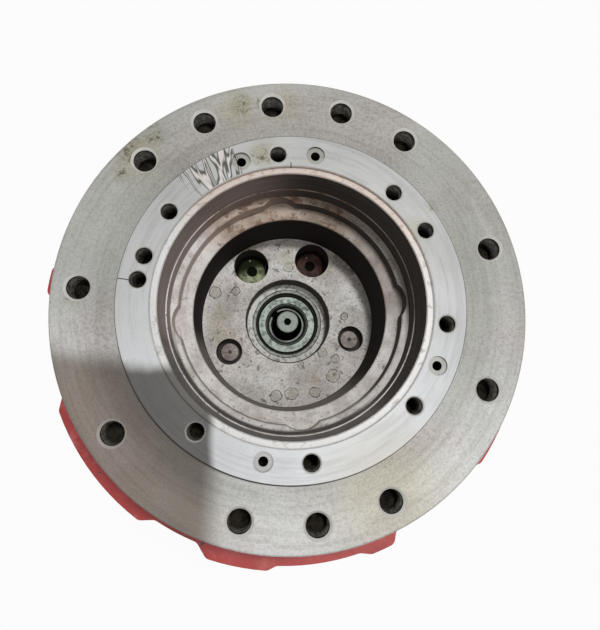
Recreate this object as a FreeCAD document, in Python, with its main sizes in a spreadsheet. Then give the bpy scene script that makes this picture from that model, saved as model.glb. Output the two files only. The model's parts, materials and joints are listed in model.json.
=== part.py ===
import FreeCAD, Part
import Sketcher
import math
import os
import re

# Excavator final drive: a two-stage planetary hub gearbox whose fixed spindle is also the case of
# the travel motor. It stands on its end cover with the open motor bore up. Millimetres, +Z up,
# origin at the middle of the end cover's outer face. Heights are written as depths below the
# raised pilot face of the spindle, so "height - depth" is a level above the floor.

SIZES = {
    # Overall
    "height": 366.0,
    "running_gap": 0.3,
    "slide_gap": 0.05,
    # Spindle: frame flange, pilot ring and motor bore
    "flange_radius": 200.0,
    "flange_top": 8.0,
    "flange_bottom": 34.0,
    "flange_chamfer": 1.5,
    "edge_chamfer": 0.8,
    "pilot_radius": 145.2,
    "relief_width": 1.2,
    "relief_deep": 0.8,
    "mouth_radius": 117.3,
    "mouth_deep": 3.0,
    "bore_radius": 111.9,
    "liner_top": 38.0,
    "liner_radius": 110.8,
    "ledge_top": 54.8,
    "ledge_radius": 104.1,
    "second_ledge_top": 70.3,
    "deep_radius": 92.4,
    "web_top": 140.0,
    "lug_centre": 88.5,
    "lug_radius": 21.0,
    # Spindle: shaft bore through the web
    "motor_bearing_radius": 45.0,
    "motor_bearing_floor": 167.0,
    "web_step_radius": 39.0,
    "seal_seat_top": 168.5,
    "seal_seat_radius": 35.75,
    "seal_seat_floor": 184.0,
    "nose_bore_radius": 21.35,
    "nose_face": 200.0,
    "nose_radius": 110.0,
    # Spindle: holes
    "frame_hole_circle": 178.1,
    "frame_hole_radius": 9.75,
    "frame_hole_sink": 23.5,
    "frame_hole_deep": 22.0,
    "frame_hole_step": 20.0,
    "cover_hole_circle": 129.05,
    "cover_hole_radius": 7.0,
    "cover_hole_sink": 16.5,
    "cover_hole_deep": 30.0,
    "port_radius": 4.0,
    "port_ring_radius": 8.0,
    "port_ring_deep": 2.4,
    "port_deep": 34.0,
    "piston_circle": 72.8,
    "piston_angle": 27.64,
    "piston_radius": 19.0,
    "piston_face": 169.0,
    "piston_floor": 187.0,
    "piston_tail": 184.0,
    "piston_chamfer": 4.5,
    "piston_dimple": 6.0,
    "piston_dimple_deep": 4.0,
    "pivot_circle": 71.3,
    "pivot_angle": 111.9,
    "pivot_radius": 9.3,
    "pivot_top": 150.0,
    "pivot_crown": 1.2,
    "pivot_centre_radius": 1.4,
    "pivot_centre_deep": 3.0,
    "pivot_pocket_radius": 14.0,
    "pivot_pocket_floor": 158.0,
    "pivot_floor": 178.0,
    # Floating seal between the spindle and the hub
    "skirt_outer": 178.0,
    "skirt_inner": 165.0,
    "skirt_bottom": 48.5,
    "seal_plane": 50.0,
    "seal_ring_inner": 146.0,
    "seal_ring_outer": 154.5,
    "seal_lip_outer": 160.0,
    "seal_lip_thick": 2.6,
    "seal_lip_slope": 1.5,
    "cushion_middle": 9.1,
    "seal_ring_deep": 14.0,
    "rim_top": 51.5,
    "seal_recess_floor": 66.0,
    # Main bearings, 240 x 310 x 33
    "neck_radius": 132.0,
    "upper_bearing_top": 78.0,
    "lower_bearing_top": 140.0,
    "bearing_width": 33.0,
    "bearing_bore": 120.0,
    "bearing_outer": 155.0,
    "inner_race": 130.5,
    "race_lip": 3.5,
    "race_lip_width": 4.5,
    "roller_radius": 7.0,
    "roller_length": 23.0,
    "roller_count": 24.0,
    "cage_inner": 135.4,
    "cage_outer": 139.8,
    "cage_inset": 1.5,
    "race_gap": 0.08,
    # Bearing nut
    "thread_radius": 118.0,
    "nut_outer": 138.0,
    "nut_width": 16.0,
    "nut_slots": 6.0,
    "nut_slot_width": 14.0,
    "nut_slot_deep": 6.0,
    "cutter_reach": 2.0,
    # Hub with the sprocket flange
    "hub_radius": 178.0,
    "sprocket_top": 100.0,
    "sprocket_bottom": 126.0,
    "sprocket_radius": 242.0,
    "hub_shoulder": 146.0,
    "hub_fillet": 8.0,
    "sprocket_hole_edge": 27.0,
    "sprocket_hole_radius": 10.5,
    "sprocket_hole_step": 12.0,
    "sprocket_hole_spread": 16.0,
    # Edge of the sprocket flange: what its parts lie back, and the angles at which they start and
    # end, in degrees from the middle of each third
    "wide_lobe_drop": 1.7,
    "wide_lobe_start": -73.5,
    "wide_lobe_end": -42.3,
    "notch_deep": 10.5,
    "left_notch_start": -39.3,
    "left_notch_end": -28.2,
    "left_lobe_start": -25.0,
    "left_lobe_end": -11.0,
    "recess_deep": 4.7,
    "recess_start": -9.0,
    "recess_end": 10.5,
    "right_lobe_start": 13.0,
    "right_lobe_end": 18.7,
    "right_notch_start": 20.5,
    "right_notch_end": 43.0,
    "lobe_round": 8.0,
    # Ring gear, end cover and their bolts; the cover's levels are measured up from the floor
    "cover_tall": 36.0,
    "cover_flange_thick": 14.0,
    "cover_dish_radius": 152.0,
    "cover_cavity_radius": 139.0,
    "cover_floor_thick": 14.0,
    "cover_edge": 6.0,
    "cover_bolt_circle": 165.0,
    "cover_bolt_count": 12.0,
    "cover_bolt_radius": 7.0,
    "cover_bolt_play": 0.5,
    "cover_bolt_head": 11.0,
    "cover_bolt_head_tall": 9.0,
    "cover_bolt_top": 178.0,
    "bolt_end_gap": 2.0,
    "joint_seal_inner": 151.5,
    "joint_seal_outer": 155.0,
    "joint_seal_deep": 3.0,
    "plug_circle": 110.0,
    "plug_radius": 12.0,
    "plug_head_radius": 17.0,
    "plug_head_play": 0.5,
    "plug_head_sunk": 1.5,
    "plug_seat_deep": 8.0,
    "plug_socket_radius": 7.0,
    "plug_socket_deep": 7.0,
    "button_radius": 20.0,
    "button_tall": 11.0,
    # Gears
    "tooth_module": 4.0,
    "ring_teeth": 72.0,
    "second_sun_teeth": 18.0,
    "first_sun_teeth": 12.0,
    "backlash": 0.5,
    "tip_gap": 1.0,
    # Second stage, whose carrier is bolted to the spindle
    "second_top": 216.0,
    "second_width": 52.0,
    "second_plate": 14.0,
    "second_carrier_radius": 124.0,
    "second_carrier_bore": 45.0,
    "washer_thick": 2.0,
    "washer_radius": 34.0,
    "second_pin_radius": 20.0,
    "second_pin_top": 206.0,
    "second_bush_wall": 5.0,
    "web_post_circle": 88.0,
    "web_post_radius": 24.0,
    "carrier_bolt_radius": 10.0,
    "carrier_bolt_head": 15.0,
    "carrier_bolt_head_tall": 12.0,
    "carrier_bolt_grip": 34.0,
    "dowel_circle": 98.0,
    "dowel_radius": 5.0,
    "dowel_half": 11.0,
    # First stage, whose carrier drives the second sun; its level is measured up from the floor
    "first_stage_tall": 80.0,
    "first_plate": 11.0,
    "first_width": 34.0,
    "first_carrier_radius": 112.0,
    "first_pin_radius": 14.0,
    "first_pin_tail": 4.5,
    "first_bush_wall": 4.0,
    "first_washer_radius": 26.0,
    "clip_thick": 1.75,
    "clip_grip": 1.5,
    "clip_rim": 5.0,
    "sun_bore": 16.0,
    "spline_play": 0.1,
    # Input shaft
    "shaft_radius": 11.75,
    "shaft_top": 148.0,
    "shaft_centre_radius": 4.0,
    "shaft_centre_deep": 6.0,
    "shaft_chamfer": 1.2,
    # Shaft seal and split ring below it
    "seal_case_outer": 33.65,
    "seal_case_inner": 23.25,
    "shaft_seal_top": 176.0,
    "shaft_seal_wall": 2.0,
    "split_ring_top": 186.0,
    "split_ring_thick": 1.85,
    "split_ring_inner": 18.25,
    "split_ring_grip": 1.5,
    "split_ring_gap": 9.0,
    "split_ring_turn": 132.0,
}

TINY = 0.001
PRESSURE_ANGLE = math.radians(20)
V = FreeCAD.Vector
UP = V(0, 0, 1)
doc = FreeCAD.newDocument("FinalDrive")
sheet = doc.addObject("Spreadsheet::Sheet", "Sizes")
for row, (alias, number) in enumerate(SIZES.items(), start=1):
    sheet.set("A%d" % row, alias)
    sheet.set("B%d" % row, str(number))
    sheet.setAlias("B%d" % row, alias)
doc.recompute()

NODES = []


def size(alias):
    """A driving dimension, read from the sheet."""
    return float(sheet.get(alias))


def bound(text):
    """The expression with each size named as a cell of the sheet."""
    return re.sub(r"[a-z_]+", lambda m: "Sizes." + m.group() if m.group() in SIZES else m.group(), text)


def down(depth):
    """The level of a depth below the pilot face, as an expression."""
    return "height - (%s)" % depth


def level(depth):
    """The level of a depth below the pilot face, as a number."""
    return size("height") - depth


def value(text):
    """The number that a sum or difference of sizes and plain numbers stands for."""
    total = 0.0
    sign = 1
    for word in text.split():
        if word in ("+", "-"):
            sign = 1 if word == "+" else -1
        else:
            total += sign * (size(word) if word in SIZES else float(word))
    return total


# Sketch helpers


def plane(body, role):
    for feature in body.Origin.OriginFeatures:
        if feature.Role == role:
            return feature


def new_sketch(body, name, role="XY_Plane", at=None):
    sketch = body.newObject("Sketcher::SketchObject", name)
    sketch.AttachmentSupport = [(plane(body, role), "")]
    sketch.MapMode = "FlatFace"
    if at is not None:
        sketch.setExpression("AttachmentOffset.Base.z", bound(at))
    return sketch


def pin_point(sketch, geometry, point, across, along):
    """Fixes one point of a sketch at two expressions."""
    for kind, text in (("DistanceX", across), ("DistanceY", along)):
        index = sketch.addConstraint(Sketcher.Constraint(kind, -1, 1, geometry, point, 1.0))
        sketch.setExpression("Constraints[%d]" % index, bound(text))


def outline(sketch, points):
    """A closed outline of straight sides through points that are pairs of expressions."""
    count = len(points)
    turn = 2 * math.pi / count
    rough = [V(math.cos(i * turn), math.sin(i * turn), 0) for i in range(count)]
    first = sketch.GeometryCount
    for i in range(count):
        sketch.addGeometry(Part.LineSegment(rough[i], rough[(i + 1) % count]), False)
    for i in range(count):
        sketch.addConstraint(Sketcher.Constraint("Coincident", first + i, 2, first + (i + 1) % count, 1))
    for i, (across, along) in enumerate(points):
        pin_point(sketch, first + i, 1, across, along)


def circle(sketch, radius, circle_radius=None, angle="0"):
    """A circle, on the axis or at an angle on a pitch circle, all as expressions."""
    index = sketch.addGeometry(Part.Circle(V(1, 1, 0), UP, 1), False)
    if circle_radius is None:
        sketch.addConstraint(Sketcher.Constraint("Coincident", index, 3, -1, 1))
    else:
        across = "(%s) * cos((%s) * 1 deg)" % (circle_radius, angle)
        along = "(%s) * sin((%s) * 1 deg)" % (circle_radius, angle)
        pin_point(sketch, index, 3, across, along)
    rim = sketch.addConstraint(Sketcher.Constraint("Radius", index, 1.0))
    sketch.setExpression("Constraints[%d]" % rim, bound(radius))


def lobed_outline(sketch, rows):
    """A closed outline of arcs round the axis, (radius, start, end), joined by slanted flanks."""
    arcs = []
    for radius, start, end in rows:
        turns = [math.radians(value(start)), math.radians(value(end))]
        arc = Part.ArcOfCircle(Part.Circle(V(), UP, value(radius)), *turns)
        index = sketch.addGeometry(arc, False)
        sketch.addConstraint(Sketcher.Constraint("Coincident", index, 3, -1, 1))
        rim = sketch.addConstraint(Sketcher.Constraint("Radius", index, value(radius)))
        sketch.setExpression("Constraints[%d]" % rim, bound(radius))
        for point, text, turn in ((1, start, turns[0]), (2, end, turns[1])):
            kind, law, share = "DistanceX", "cos", math.cos(turn)
            if abs(share) > abs(math.sin(turn)):
                kind, law, share = "DistanceY", "sin", math.sin(turn)
            fixed = Sketcher.Constraint(kind, -1, 1, index, point, value(radius) * share)
            place = sketch.addConstraint(fixed)
            sketch.setExpression("Constraints[%d]" % place,
                                 bound("(%s) * %s((%s) * 1 deg)" % (radius, law, text)))
        arcs.append((index, arc))
    for (before, first), (after, second) in zip(arcs, arcs[1:] + arcs[:1]):
        flank = sketch.addGeometry(Part.LineSegment(first.EndPoint, second.StartPoint), False)
        sketch.addConstraint(Sketcher.Constraint("Coincident", flank, 1, before, 2))
        sketch.addConstraint(Sketcher.Constraint("Coincident", flank, 2, after, 1))


# Feature helpers


def new_body(label):
    body = doc.addObject("PartDesign::Body", label)
    body.Label = label
    body.Placement = FreeCAD.Placement()
    NODES.append(body)
    return body


def turned(body, points, name="Profile"):
    """Material turned round the axis: points are (radius, level)."""
    sketch = new_sketch(body, name, "XZ_Plane")
    outline(sketch, points)
    feature = body.newObject("PartDesign::Revolution", name + "Turn")
    feature.Profile = sketch
    feature.ReferenceAxis = (sketch, ["V_Axis"])
    feature.Angle = 360
    return feature


def ring_points(inner, outer, top, bottom):
    """A plain ring's section, from radii and depths."""
    return [(inner, down(bottom)), (outer, down(bottom)), (outer, down(top)), (inner, down(top))]


def padded(body, sketch, tall, name):
    """Material raised upwards from a sketch."""
    feature = body.newObject("PartDesign::Pad", name)
    feature.Profile = sketch
    feature.setExpression("Length", bound(tall))
    return feature


def cut_down(body, sketch, deep, name):
    """A pocket cut downwards from a sketch."""
    feature = body.newObject("PartDesign::Pocket", name)
    feature.Profile = sketch
    feature.setExpression("Length", bound(deep))
    return feature


def cut_up(body, sketch, deep, name):
    """A pocket cut upwards from a sketch."""
    feature = cut_down(body, sketch, deep, name)
    feature.Reversed = True
    return feature


def round_pockets(body, name, top, deep, radius, circle_radius, angles, upwards=False):
    """Round pockets of one depth at angles on a pitch circle."""
    sketch = new_sketch(body, name, at=down(top))
    for angle in angles:
        circle(sketch, radius, circle_radius, angle)
    if upwards:
        return cut_up(body, sketch, deep, name + "Cut")
    return cut_down(body, sketch, deep, name + "Cut")


def tapped_holes(body, name, top, radius, sink, deep, circle_radius, angles):
    """Flat-bottomed tapped holes with a 90 degree countersink."""
    sketch = new_sketch(body, name, at=down(top))
    for angle in angles:
        circle(sketch, radius, circle_radius, angle)
    doc.recompute()
    hole = body.newObject("PartDesign::Hole", name + "Drill")
    hole.Profile = sketch
    hole.setExpression("Diameter", bound("2 * %s" % radius))
    hole.DepthType = "Dimension"
    hole.setExpression("Depth", bound(deep))
    hole.HoleCutType = "Countersink"
    hole.HoleCutCustomValues = True
    hole.setExpression("HoleCutDiameter", bound(sink))
    hole.HoleCutCountersinkAngle = 90
    hole.DrillPoint = "Flat"
    return hole


def upright_edges(shape, radius):
    """Names of the straight edges along the axis that lie further out than a radius."""
    names = []
    for number, edge in enumerate(shape.Edges, start=1):
        ends = [vertex.Point for vertex in edge.Vertexes]
        if len(ends) == 2 and math.hypot(ends[0].x - ends[1].x, ends[0].y - ends[1].y) < TINY:
            if math.hypot(ends[0].x, ends[0].y) > radius:
                names.append("Edge%d" % number)
    return names


def repeated(body, feature, count, name):
    """The feature repeated evenly round the axis."""
    pattern = body.newObject("PartDesign::PolarPattern", name)
    pattern.Originals = [feature]
    pattern.Axis = (plane(body, "Z_Axis"), [""])
    pattern.Angle = 360
    pattern.setExpression("Occurrences", bound(count))
    body.Tip = pattern
    return pattern


def feature_node(label, shape, placement=None):
    """A sub-part whose shape is worked out here from the sheet's sizes."""
    node = doc.addObject("Part::Feature", label)
    node.Label = label
    node.Shape = shape
    node.Placement = placement or FreeCAD.Placement()
    NODES.append(node)
    return node


# Solids for repeated small parts


def rod(radius, top, bottom, circle_radius=0.0, angle=0.0):
    """A round bar between two depths, parallel to the axis."""
    foot = V(circle_radius * math.cos(math.radians(angle)),
             circle_radius * math.sin(math.radians(angle)), level(bottom))
    return Part.makeCylinder(radius, bottom - top, foot)


def washer(inner, outer, top, bottom, circle_radius=0.0, angle=0.0):
    hole = rod(inner, top - 1, bottom + 1, circle_radius, angle)
    return rod(outer, top, bottom, circle_radius, angle).cut(hole)


def hexagon_bar(radius, top, bottom, circle_radius, angle):
    """A hexagonal bar between two depths, flats across the radius."""
    turn = math.radians(angle)
    middle = V(circle_radius * math.cos(turn), circle_radius * math.sin(turn), level(bottom))
    corners = []
    for i in range(6):
        side = turn + math.radians(60 * i)
        corners.append(middle + V(radius * math.cos(side), radius * math.sin(side), 0))
    face = Part.Face(Part.makePolygon(corners + corners[:1]))
    return face.extrude(V(0, 0, bottom - top))


def around(count, offset=0.0):
    return [offset + 360.0 * i / count for i in range(int(count))]


# Gear teeth: involute flanks drawn with a few straight steps


def flank_half_angle(teeth, radius, thin):
    """Half the angle that a tooth covers at a radius, on a 20 degree involute, in degrees."""
    pitch = size("tooth_module") * teeth / 2
    base = pitch * math.cos(PRESSURE_ANGLE)
    involute = math.tan(PRESSURE_ANGLE) - PRESSURE_ANGLE
    press = math.acos(min(1.0, base / radius))
    half = math.pi / 2 / teeth + involute - (math.tan(press) - press) - thin / 2 / pitch
    return math.degrees(half)


def toothed_outline(teeth, root, tip, thin, steps=3, phase=0.0):
    """A closed polygon of gear teeth. phase turns the first tooth, in degrees."""
    pitch = size("tooth_module") * teeth / 2
    base = pitch * math.cos(PRESSURE_ANGLE)
    low = max(min(root, tip), base)
    high = max(root, tip)
    points = []
    for tooth in range(int(teeth)):
        middle = phase + 360.0 * tooth / teeth
        rise = []
        if min(root, tip) < base:
            rise.append((min(root, tip), flank_half_angle(teeth, base, thin)))
        for step in range(steps):
            radius = low + (high - low) * step / (steps - 1)
            rise.append((radius, flank_half_angle(teeth, radius, thin)))
        for radius, half in rise:
            points.append((radius, middle - half))
        for radius, half in reversed(rise):
            points.append((radius, middle + half))
    corners = [V(r * math.cos(math.radians(a)), r * math.sin(math.radians(a)), 0) for r, a in points]
    return Part.makePolygon(corners + corners[:1])


def toothed_bar(teeth, root, tip, thin, top, bottom, phase=0.0):
    face = Part.Face(toothed_outline(teeth, root, tip, thin, phase=phase))
    bar = face.extrude(V(0, 0, bottom - top))
    bar.translate(V(0, 0, level(bottom)))
    return bar


# Levels that follow the floor, and the planets' orbits, which follow the teeth
RING_BOTTOM = "height - cover_tall"
COVER_FLANGE_BOTTOM = "height - cover_tall + cover_flange_thick"
COVER_FLOOR = "height - cover_floor_thick"
PLUG_HEAD_TOP = "height - plug_seat_deep"
FIRST_TOP = "height - first_stage_tall"
SECOND_ORBIT = "tooth_module * (ring_teeth + second_sun_teeth) / 4"

# Angles of the hole groups, counter-clockwise from +X; the frame holes sit on a 20 degree grid
FRAME_HOLES = ["90 + frame_hole_step * (%d)" % n for n in (2, 1, 0, -1, -2, -4, -6, -8, -9, -10, -12, 4)]
COVER_HOLES = ("90", "42", "23", "-14", "-47", "-90", "-133", "166", "157", "138")
PORTS = ("104.35", "75.65", "-30", "-107")
LUGS = ("0", "90", "180", "270")
PLANETS = ("90", "210", "330")
POSTS = ("30", "150", "270")
DOWELS = ("60", "180", "300")
PLUGS = ("90", "180", "270")


SPROCKET_HOLE_CIRCLE = "sprocket_radius - sprocket_hole_edge"
THIRDS = ("30", "150", "270")
EDGE = (
    ("sprocket_radius - wide_lobe_drop", "wide_lobe_start", "wide_lobe_end"),
    ("sprocket_radius - notch_deep", "left_notch_start", "left_notch_end"),
    ("sprocket_radius", "left_lobe_start", "left_lobe_end"),
    ("sprocket_radius - recess_deep", "recess_start", "recess_end"),
    ("sprocket_radius", "right_lobe_start", "right_lobe_end"),
    ("sprocket_radius - notch_deep", "right_notch_start", "right_notch_end"),
)


def orbit_radius(stage):
    """How far the planets of a stage stand from the axis."""
    return size("tooth_module") * (size("ring_teeth") + size(stage + "_sun_teeth")) / 4


def spindle_housing():
    """The fixed spindle: frame flange, motor bore, bearing seats and nose."""
    body = new_body("spindle_housing")
    turned(body, [
        ("nose_bore_radius", down("nose_face")),
        ("nose_radius", down("nose_face")),
        ("nose_radius", down("lower_bearing_top + bearing_width + nut_width")),
        ("thread_radius", down("lower_bearing_top + bearing_width + nut_width")),
        ("thread_radius", down("lower_bearing_top + bearing_width")),
        ("bearing_bore", down("lower_bearing_top + bearing_width")),
        ("bearing_bore", down("upper_bearing_top")),
        ("neck_radius", down("upper_bearing_top")),
        ("neck_radius", down("flange_bottom")),
        ("skirt_inner", down("flange_bottom")),
        ("skirt_inner", down("skirt_bottom")),
        ("skirt_outer", down("skirt_bottom")),
        ("skirt_outer", down("flange_bottom")),
        ("flange_radius", down("flange_bottom")),
        ("flange_radius", down("flange_top + flange_chamfer")),
        ("flange_radius - flange_chamfer", down("flange_top")),
        ("pilot_radius + relief_width", down("flange_top")),
        ("pilot_radius + relief_width", down("flange_top + relief_deep")),
        ("pilot_radius", down("flange_top + relief_deep")),
        ("pilot_radius", down("edge_chamfer")),
        ("pilot_radius - edge_chamfer", down("0")),
        ("mouth_radius + edge_chamfer", down("0")),
        ("mouth_radius", down("edge_chamfer")),
        ("mouth_radius", down("mouth_deep")),
        ("bore_radius + edge_chamfer", down("mouth_deep")),
        ("bore_radius", down("mouth_deep + edge_chamfer")),
        ("bore_radius", down("liner_top")),
        ("liner_radius", down("liner_top")),
        ("liner_radius", down("ledge_top")),
        ("ledge_radius + edge_chamfer", down("ledge_top")),
        ("ledge_radius", down("ledge_top + edge_chamfer")),
        ("ledge_radius", down("second_ledge_top")),
        ("deep_radius + edge_chamfer", down("second_ledge_top")),
        ("deep_radius", down("second_ledge_top + edge_chamfer")),
        ("deep_radius", down("web_top")),
        ("motor_bearing_radius + edge_chamfer", down("web_top")),
        ("motor_bearing_radius", down("web_top + edge_chamfer")),
        ("motor_bearing_radius", down("motor_bearing_floor")),
        ("web_step_radius", down("motor_bearing_floor")),
        ("seal_seat_radius", down("seal_seat_top")),
        ("seal_seat_radius", down("seal_seat_floor")),
        ("nose_bore_radius", down("seal_seat_floor")),
        ("nose_bore_radius", down("split_ring_top")),
        ("nose_bore_radius + split_ring_grip", down("split_ring_top")),
        ("nose_bore_radius + split_ring_grip", down("split_ring_top + split_ring_thick")),
        ("nose_bore_radius", down("split_ring_top + split_ring_thick")),
    ])
    tapped_holes(body, "FrameHoles", "flange_top", "frame_hole_radius", "frame_hole_sink",
                 "frame_hole_deep", "frame_hole_circle", FRAME_HOLES)
    tapped_holes(body, "CoverHoles", "0", "cover_hole_radius", "cover_hole_sink",
                 "cover_hole_deep", "cover_hole_circle", COVER_HOLES)
    round_pockets(body, "PortRings", "0", "port_ring_deep", "port_ring_radius", "cover_hole_circle", PORTS)
    round_pockets(body, "Ports", "0", "port_deep", "port_radius", "cover_hole_circle", PORTS)
    round_pockets(body, "Lugs", "ledge_top", "second_ledge_top - ledge_top", "lug_radius",
                  "lug_centre", LUGS)
    pistons = ("90 + piston_angle", "90 - piston_angle")
    round_pockets(body, "PistonBores", "web_top", "piston_floor - web_top", "piston_radius",
                  "piston_circle", pistons)
    pivots = ("90 + pivot_angle", "90 - pivot_angle")
    round_pockets(body, "PivotPockets", "web_top", "pivot_pocket_floor - web_top",
                  "pivot_pocket_radius", "pivot_circle", pivots)
    round_pockets(body, "PivotBores", "web_top", "pivot_floor - web_top", "pivot_radius",
                  "pivot_circle", pivots)
    round_pockets(body, "CarrierBoltHoles", "nose_face", "carrier_bolt_grip", "carrier_bolt_radius",
                  "web_post_circle", POSTS, upwards=True)
    round_pockets(body, "DowelHoles", "nose_face", "dowel_half", "dowel_radius", "dowel_circle",
                  DOWELS, upwards=True)


def floating_seal():
    """Two lapped metal rings, each on a squeezed rubber ring: one stands still, one turns."""
    for label, sign, gap in (("fixed", "-", "0"), ("moving", "+", "slide_gap")):
        def off(distance):
            return down("seal_plane + %s %s (%s)" % (gap, sign, distance))
        body = new_body(label + "_seal_ring")
        turned(body, [
            ("seal_ring_inner", off("0")),
            ("seal_lip_outer", off("0")),
            ("seal_lip_outer", off("seal_lip_thick")),
            ("seal_ring_outer", off("seal_lip_thick + seal_lip_slope")),
            ("seal_ring_outer", off("seal_ring_deep")),
            ("seal_ring_inner", off("seal_ring_deep")),
        ])
        body = new_body(label + "_seal_cushion")
        middle = "(seal_ring_outer + skirt_inner) / 2"
        half = "(skirt_inner - seal_ring_outer) / 2"
        flat = "(skirt_inner - seal_ring_outer) / 4"
        centre = "cushion_middle"
        turned(body, [
            (middle + " - " + flat, off(centre + " - " + half)),
            (middle + " + " + flat, off(centre + " - " + half)),
            ("skirt_inner", off(centre + " - " + flat)),
            ("skirt_inner", off(centre + " + " + flat)),
            (middle + " + " + flat, off(centre + " + " + half)),
            (middle + " - " + flat, off(centre + " + " + half)),
            ("seal_ring_outer", off(centre + " + " + flat)),
            ("seal_ring_outer", off(centre + " - " + flat)),
        ])


def main_bearing(name, top):
    """A roller bearing: inner and outer rings, cage and rollers."""
    bottom = top + " + bearing_width"
    lip = "inner_race + race_lip"
    body = new_body(name + "_bearing_inner")
    turned(body, [
        ("bearing_bore", down(bottom)),
        (lip, down(bottom)),
        (lip, down(bottom + " - race_lip_width")),
        ("inner_race", down(bottom + " - race_lip_width")),
        ("inner_race", down(top + " + race_lip_width")),
        (lip, down(top + " + race_lip_width")),
        (lip, down(top)),
        ("bearing_bore", down(top)),
    ])
    body = new_body(name + "_bearing_outer")
    race = "inner_race + 2 * roller_radius + 2 * race_gap"
    turned(body, ring_points(race, "bearing_outer", top, bottom))
    middle = "inner_race + race_gap + roller_radius"
    start = top + " + (bearing_width - roller_length) / 2"
    body = new_body(name + "_bearing_cage")
    turned(body, ring_points("cage_inner", "cage_outer", top + " + cage_inset", bottom + " - cage_inset"))
    doc.recompute()
    window = round_pockets(body, "Window", start + " - race_gap", "roller_length + 2 * race_gap",
                           "roller_radius + race_gap", middle, ("0",))
    repeated(body, window, "roller_count", "Windows")
    radius = size("inner_race") + size("race_gap") + size("roller_radius")
    high = size(top) + (size("bearing_width") - size("roller_length")) / 2
    low = high + size("roller_length")
    places = around(size("roller_count"))
    rollers = [rod(size("roller_radius"), high, low, radius, angle) for angle in places]
    feature_node(name + "_bearing_rollers", Part.makeCompound(rollers))


def bearing_nut():
    """The slotted nut that holds both inner rings on the spindle."""
    body = new_body("bearing_nut")
    top = "lower_bearing_top + bearing_width"
    turned(body, ring_points("thread_radius", "nut_outer", top, top + " + nut_width"))
    sketch = new_sketch(body, "Slot", at=down(top + " + nut_width"))
    outline(sketch, [
        ("nut_outer - nut_slot_deep", "0 - nut_slot_width / 2"),
        ("nut_outer + cutter_reach", "0 - nut_slot_width / 2"),
        ("nut_outer + cutter_reach", "nut_slot_width / 2"),
        ("nut_outer - nut_slot_deep", "nut_slot_width / 2"),
    ])
    slot = cut_up(body, sketch, "nut_width", "SlotCut")
    repeated(body, slot, "nut_slots", "Slots")


def hub_housing():
    """The turning hub with the lobed sprocket flange round it."""
    body = new_body("hub_housing")
    lower = "lower_bearing_top"
    upper = "upper_bearing_top + bearing_width"
    turned(body, [
        ("skirt_inner", down("rim_top")),
        ("skirt_inner", down("seal_recess_floor")),
        ("bearing_outer", down("seal_recess_floor")),
        ("bearing_outer", down(upper)),
        ("hub_shoulder", down(upper)),
        ("hub_shoulder", down(lower)),
        ("bearing_outer", down(lower)),
        ("bearing_outer", down("nose_face")),
        ("hub_radius", down("nose_face")),
        ("hub_radius", down("sprocket_bottom + hub_fillet")),
        ("hub_radius + hub_fillet", down("sprocket_bottom")),
        ("hub_radius + hub_fillet", down("sprocket_top")),
        ("hub_radius", down("sprocket_top - hub_fillet")),
        ("hub_radius", down("rim_top")),
    ])
    edge = new_sketch(body, "Edge", at=down("sprocket_bottom"))
    rows = []
    for third in THIRDS:
        for radius, start, end in EDGE:
            rows.append((radius, third + " + " + start, third + " + " + end))
    lobed_outline(edge, rows)
    circle(edge, "(bearing_outer + hub_radius) / 2")
    flange = padded(body, edge, "sprocket_bottom - sprocket_top", "Flange")
    doc.recompute()
    rounds = body.newObject("PartDesign::Fillet", "LobeRounds")
    rounds.Base = (flange, upright_edges(flange.Shape, size("hub_radius") + size("hub_fillet") + TINY))
    rounds.setExpression("Radius", bound("lobe_round"))
    wide = ["%s + 60 + sprocket_hole_step * (%d)" % (third, k) for third in THIRDS for k in (-1, 0, 1)]
    narrow = ["%s + sprocket_hole_spread * (%d)" % (third, side) for third in THIRDS for side in (-1, 1)]
    round_pockets(body, "SprocketHoles", "sprocket_top", "sprocket_bottom - sprocket_top",
                  "sprocket_hole_radius", SPROCKET_HOLE_CIRCLE, wide + narrow)
    turns = ["360 / cover_bolt_count * %d" % n for n in range(int(size("cover_bolt_count")))]
    round_pockets(body, "RingBoltHoles", "nose_face", "nose_face - cover_bolt_top",
                  "cover_bolt_radius", "cover_bolt_circle", turns, upwards=True)


def ring_gear():
    """The ring gear that both stages run in, clamped between the hub and the end cover."""
    top = size("nose_face")
    bottom = value(RING_BOTTOM)
    teeth = size("ring_teeth")
    pitch = size("tooth_module") * teeth / 2
    tip = pitch - size("tooth_module")
    root = pitch + size("tooth_module") + size("tip_gap")
    blank = rod(size("hub_radius"), top, bottom)
    spaces = toothed_bar(teeth, tip, root, -size("backlash") / 2, top - 1, bottom + 1)
    deep = size("joint_seal_deep")
    inner = size("joint_seal_inner")
    outer = size("joint_seal_outer")
    upper_groove = washer(inner, outer, top - 1, top + deep)
    lower_groove = washer(inner, outer, bottom - deep, bottom + 1)
    cuts = [spaces, upper_groove, lower_groove]
    hole = size("cover_bolt_radius") + size("cover_bolt_play")
    for angle in around(size("cover_bolt_count")):
        cuts.append(rod(hole, top - 1, bottom + 1, size("cover_bolt_circle"), angle))
    feature_node("ring_gear", blank.cut(cuts))
    starts = {"hub_joint_seal": "nose_face", "cover_joint_seal": RING_BOTTOM + " - joint_seal_deep"}
    for label, start in starts.items():
        turned(new_body(label), ring_points("joint_seal_inner", "joint_seal_outer", start,
                                            start + " + joint_seal_deep"))


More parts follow.
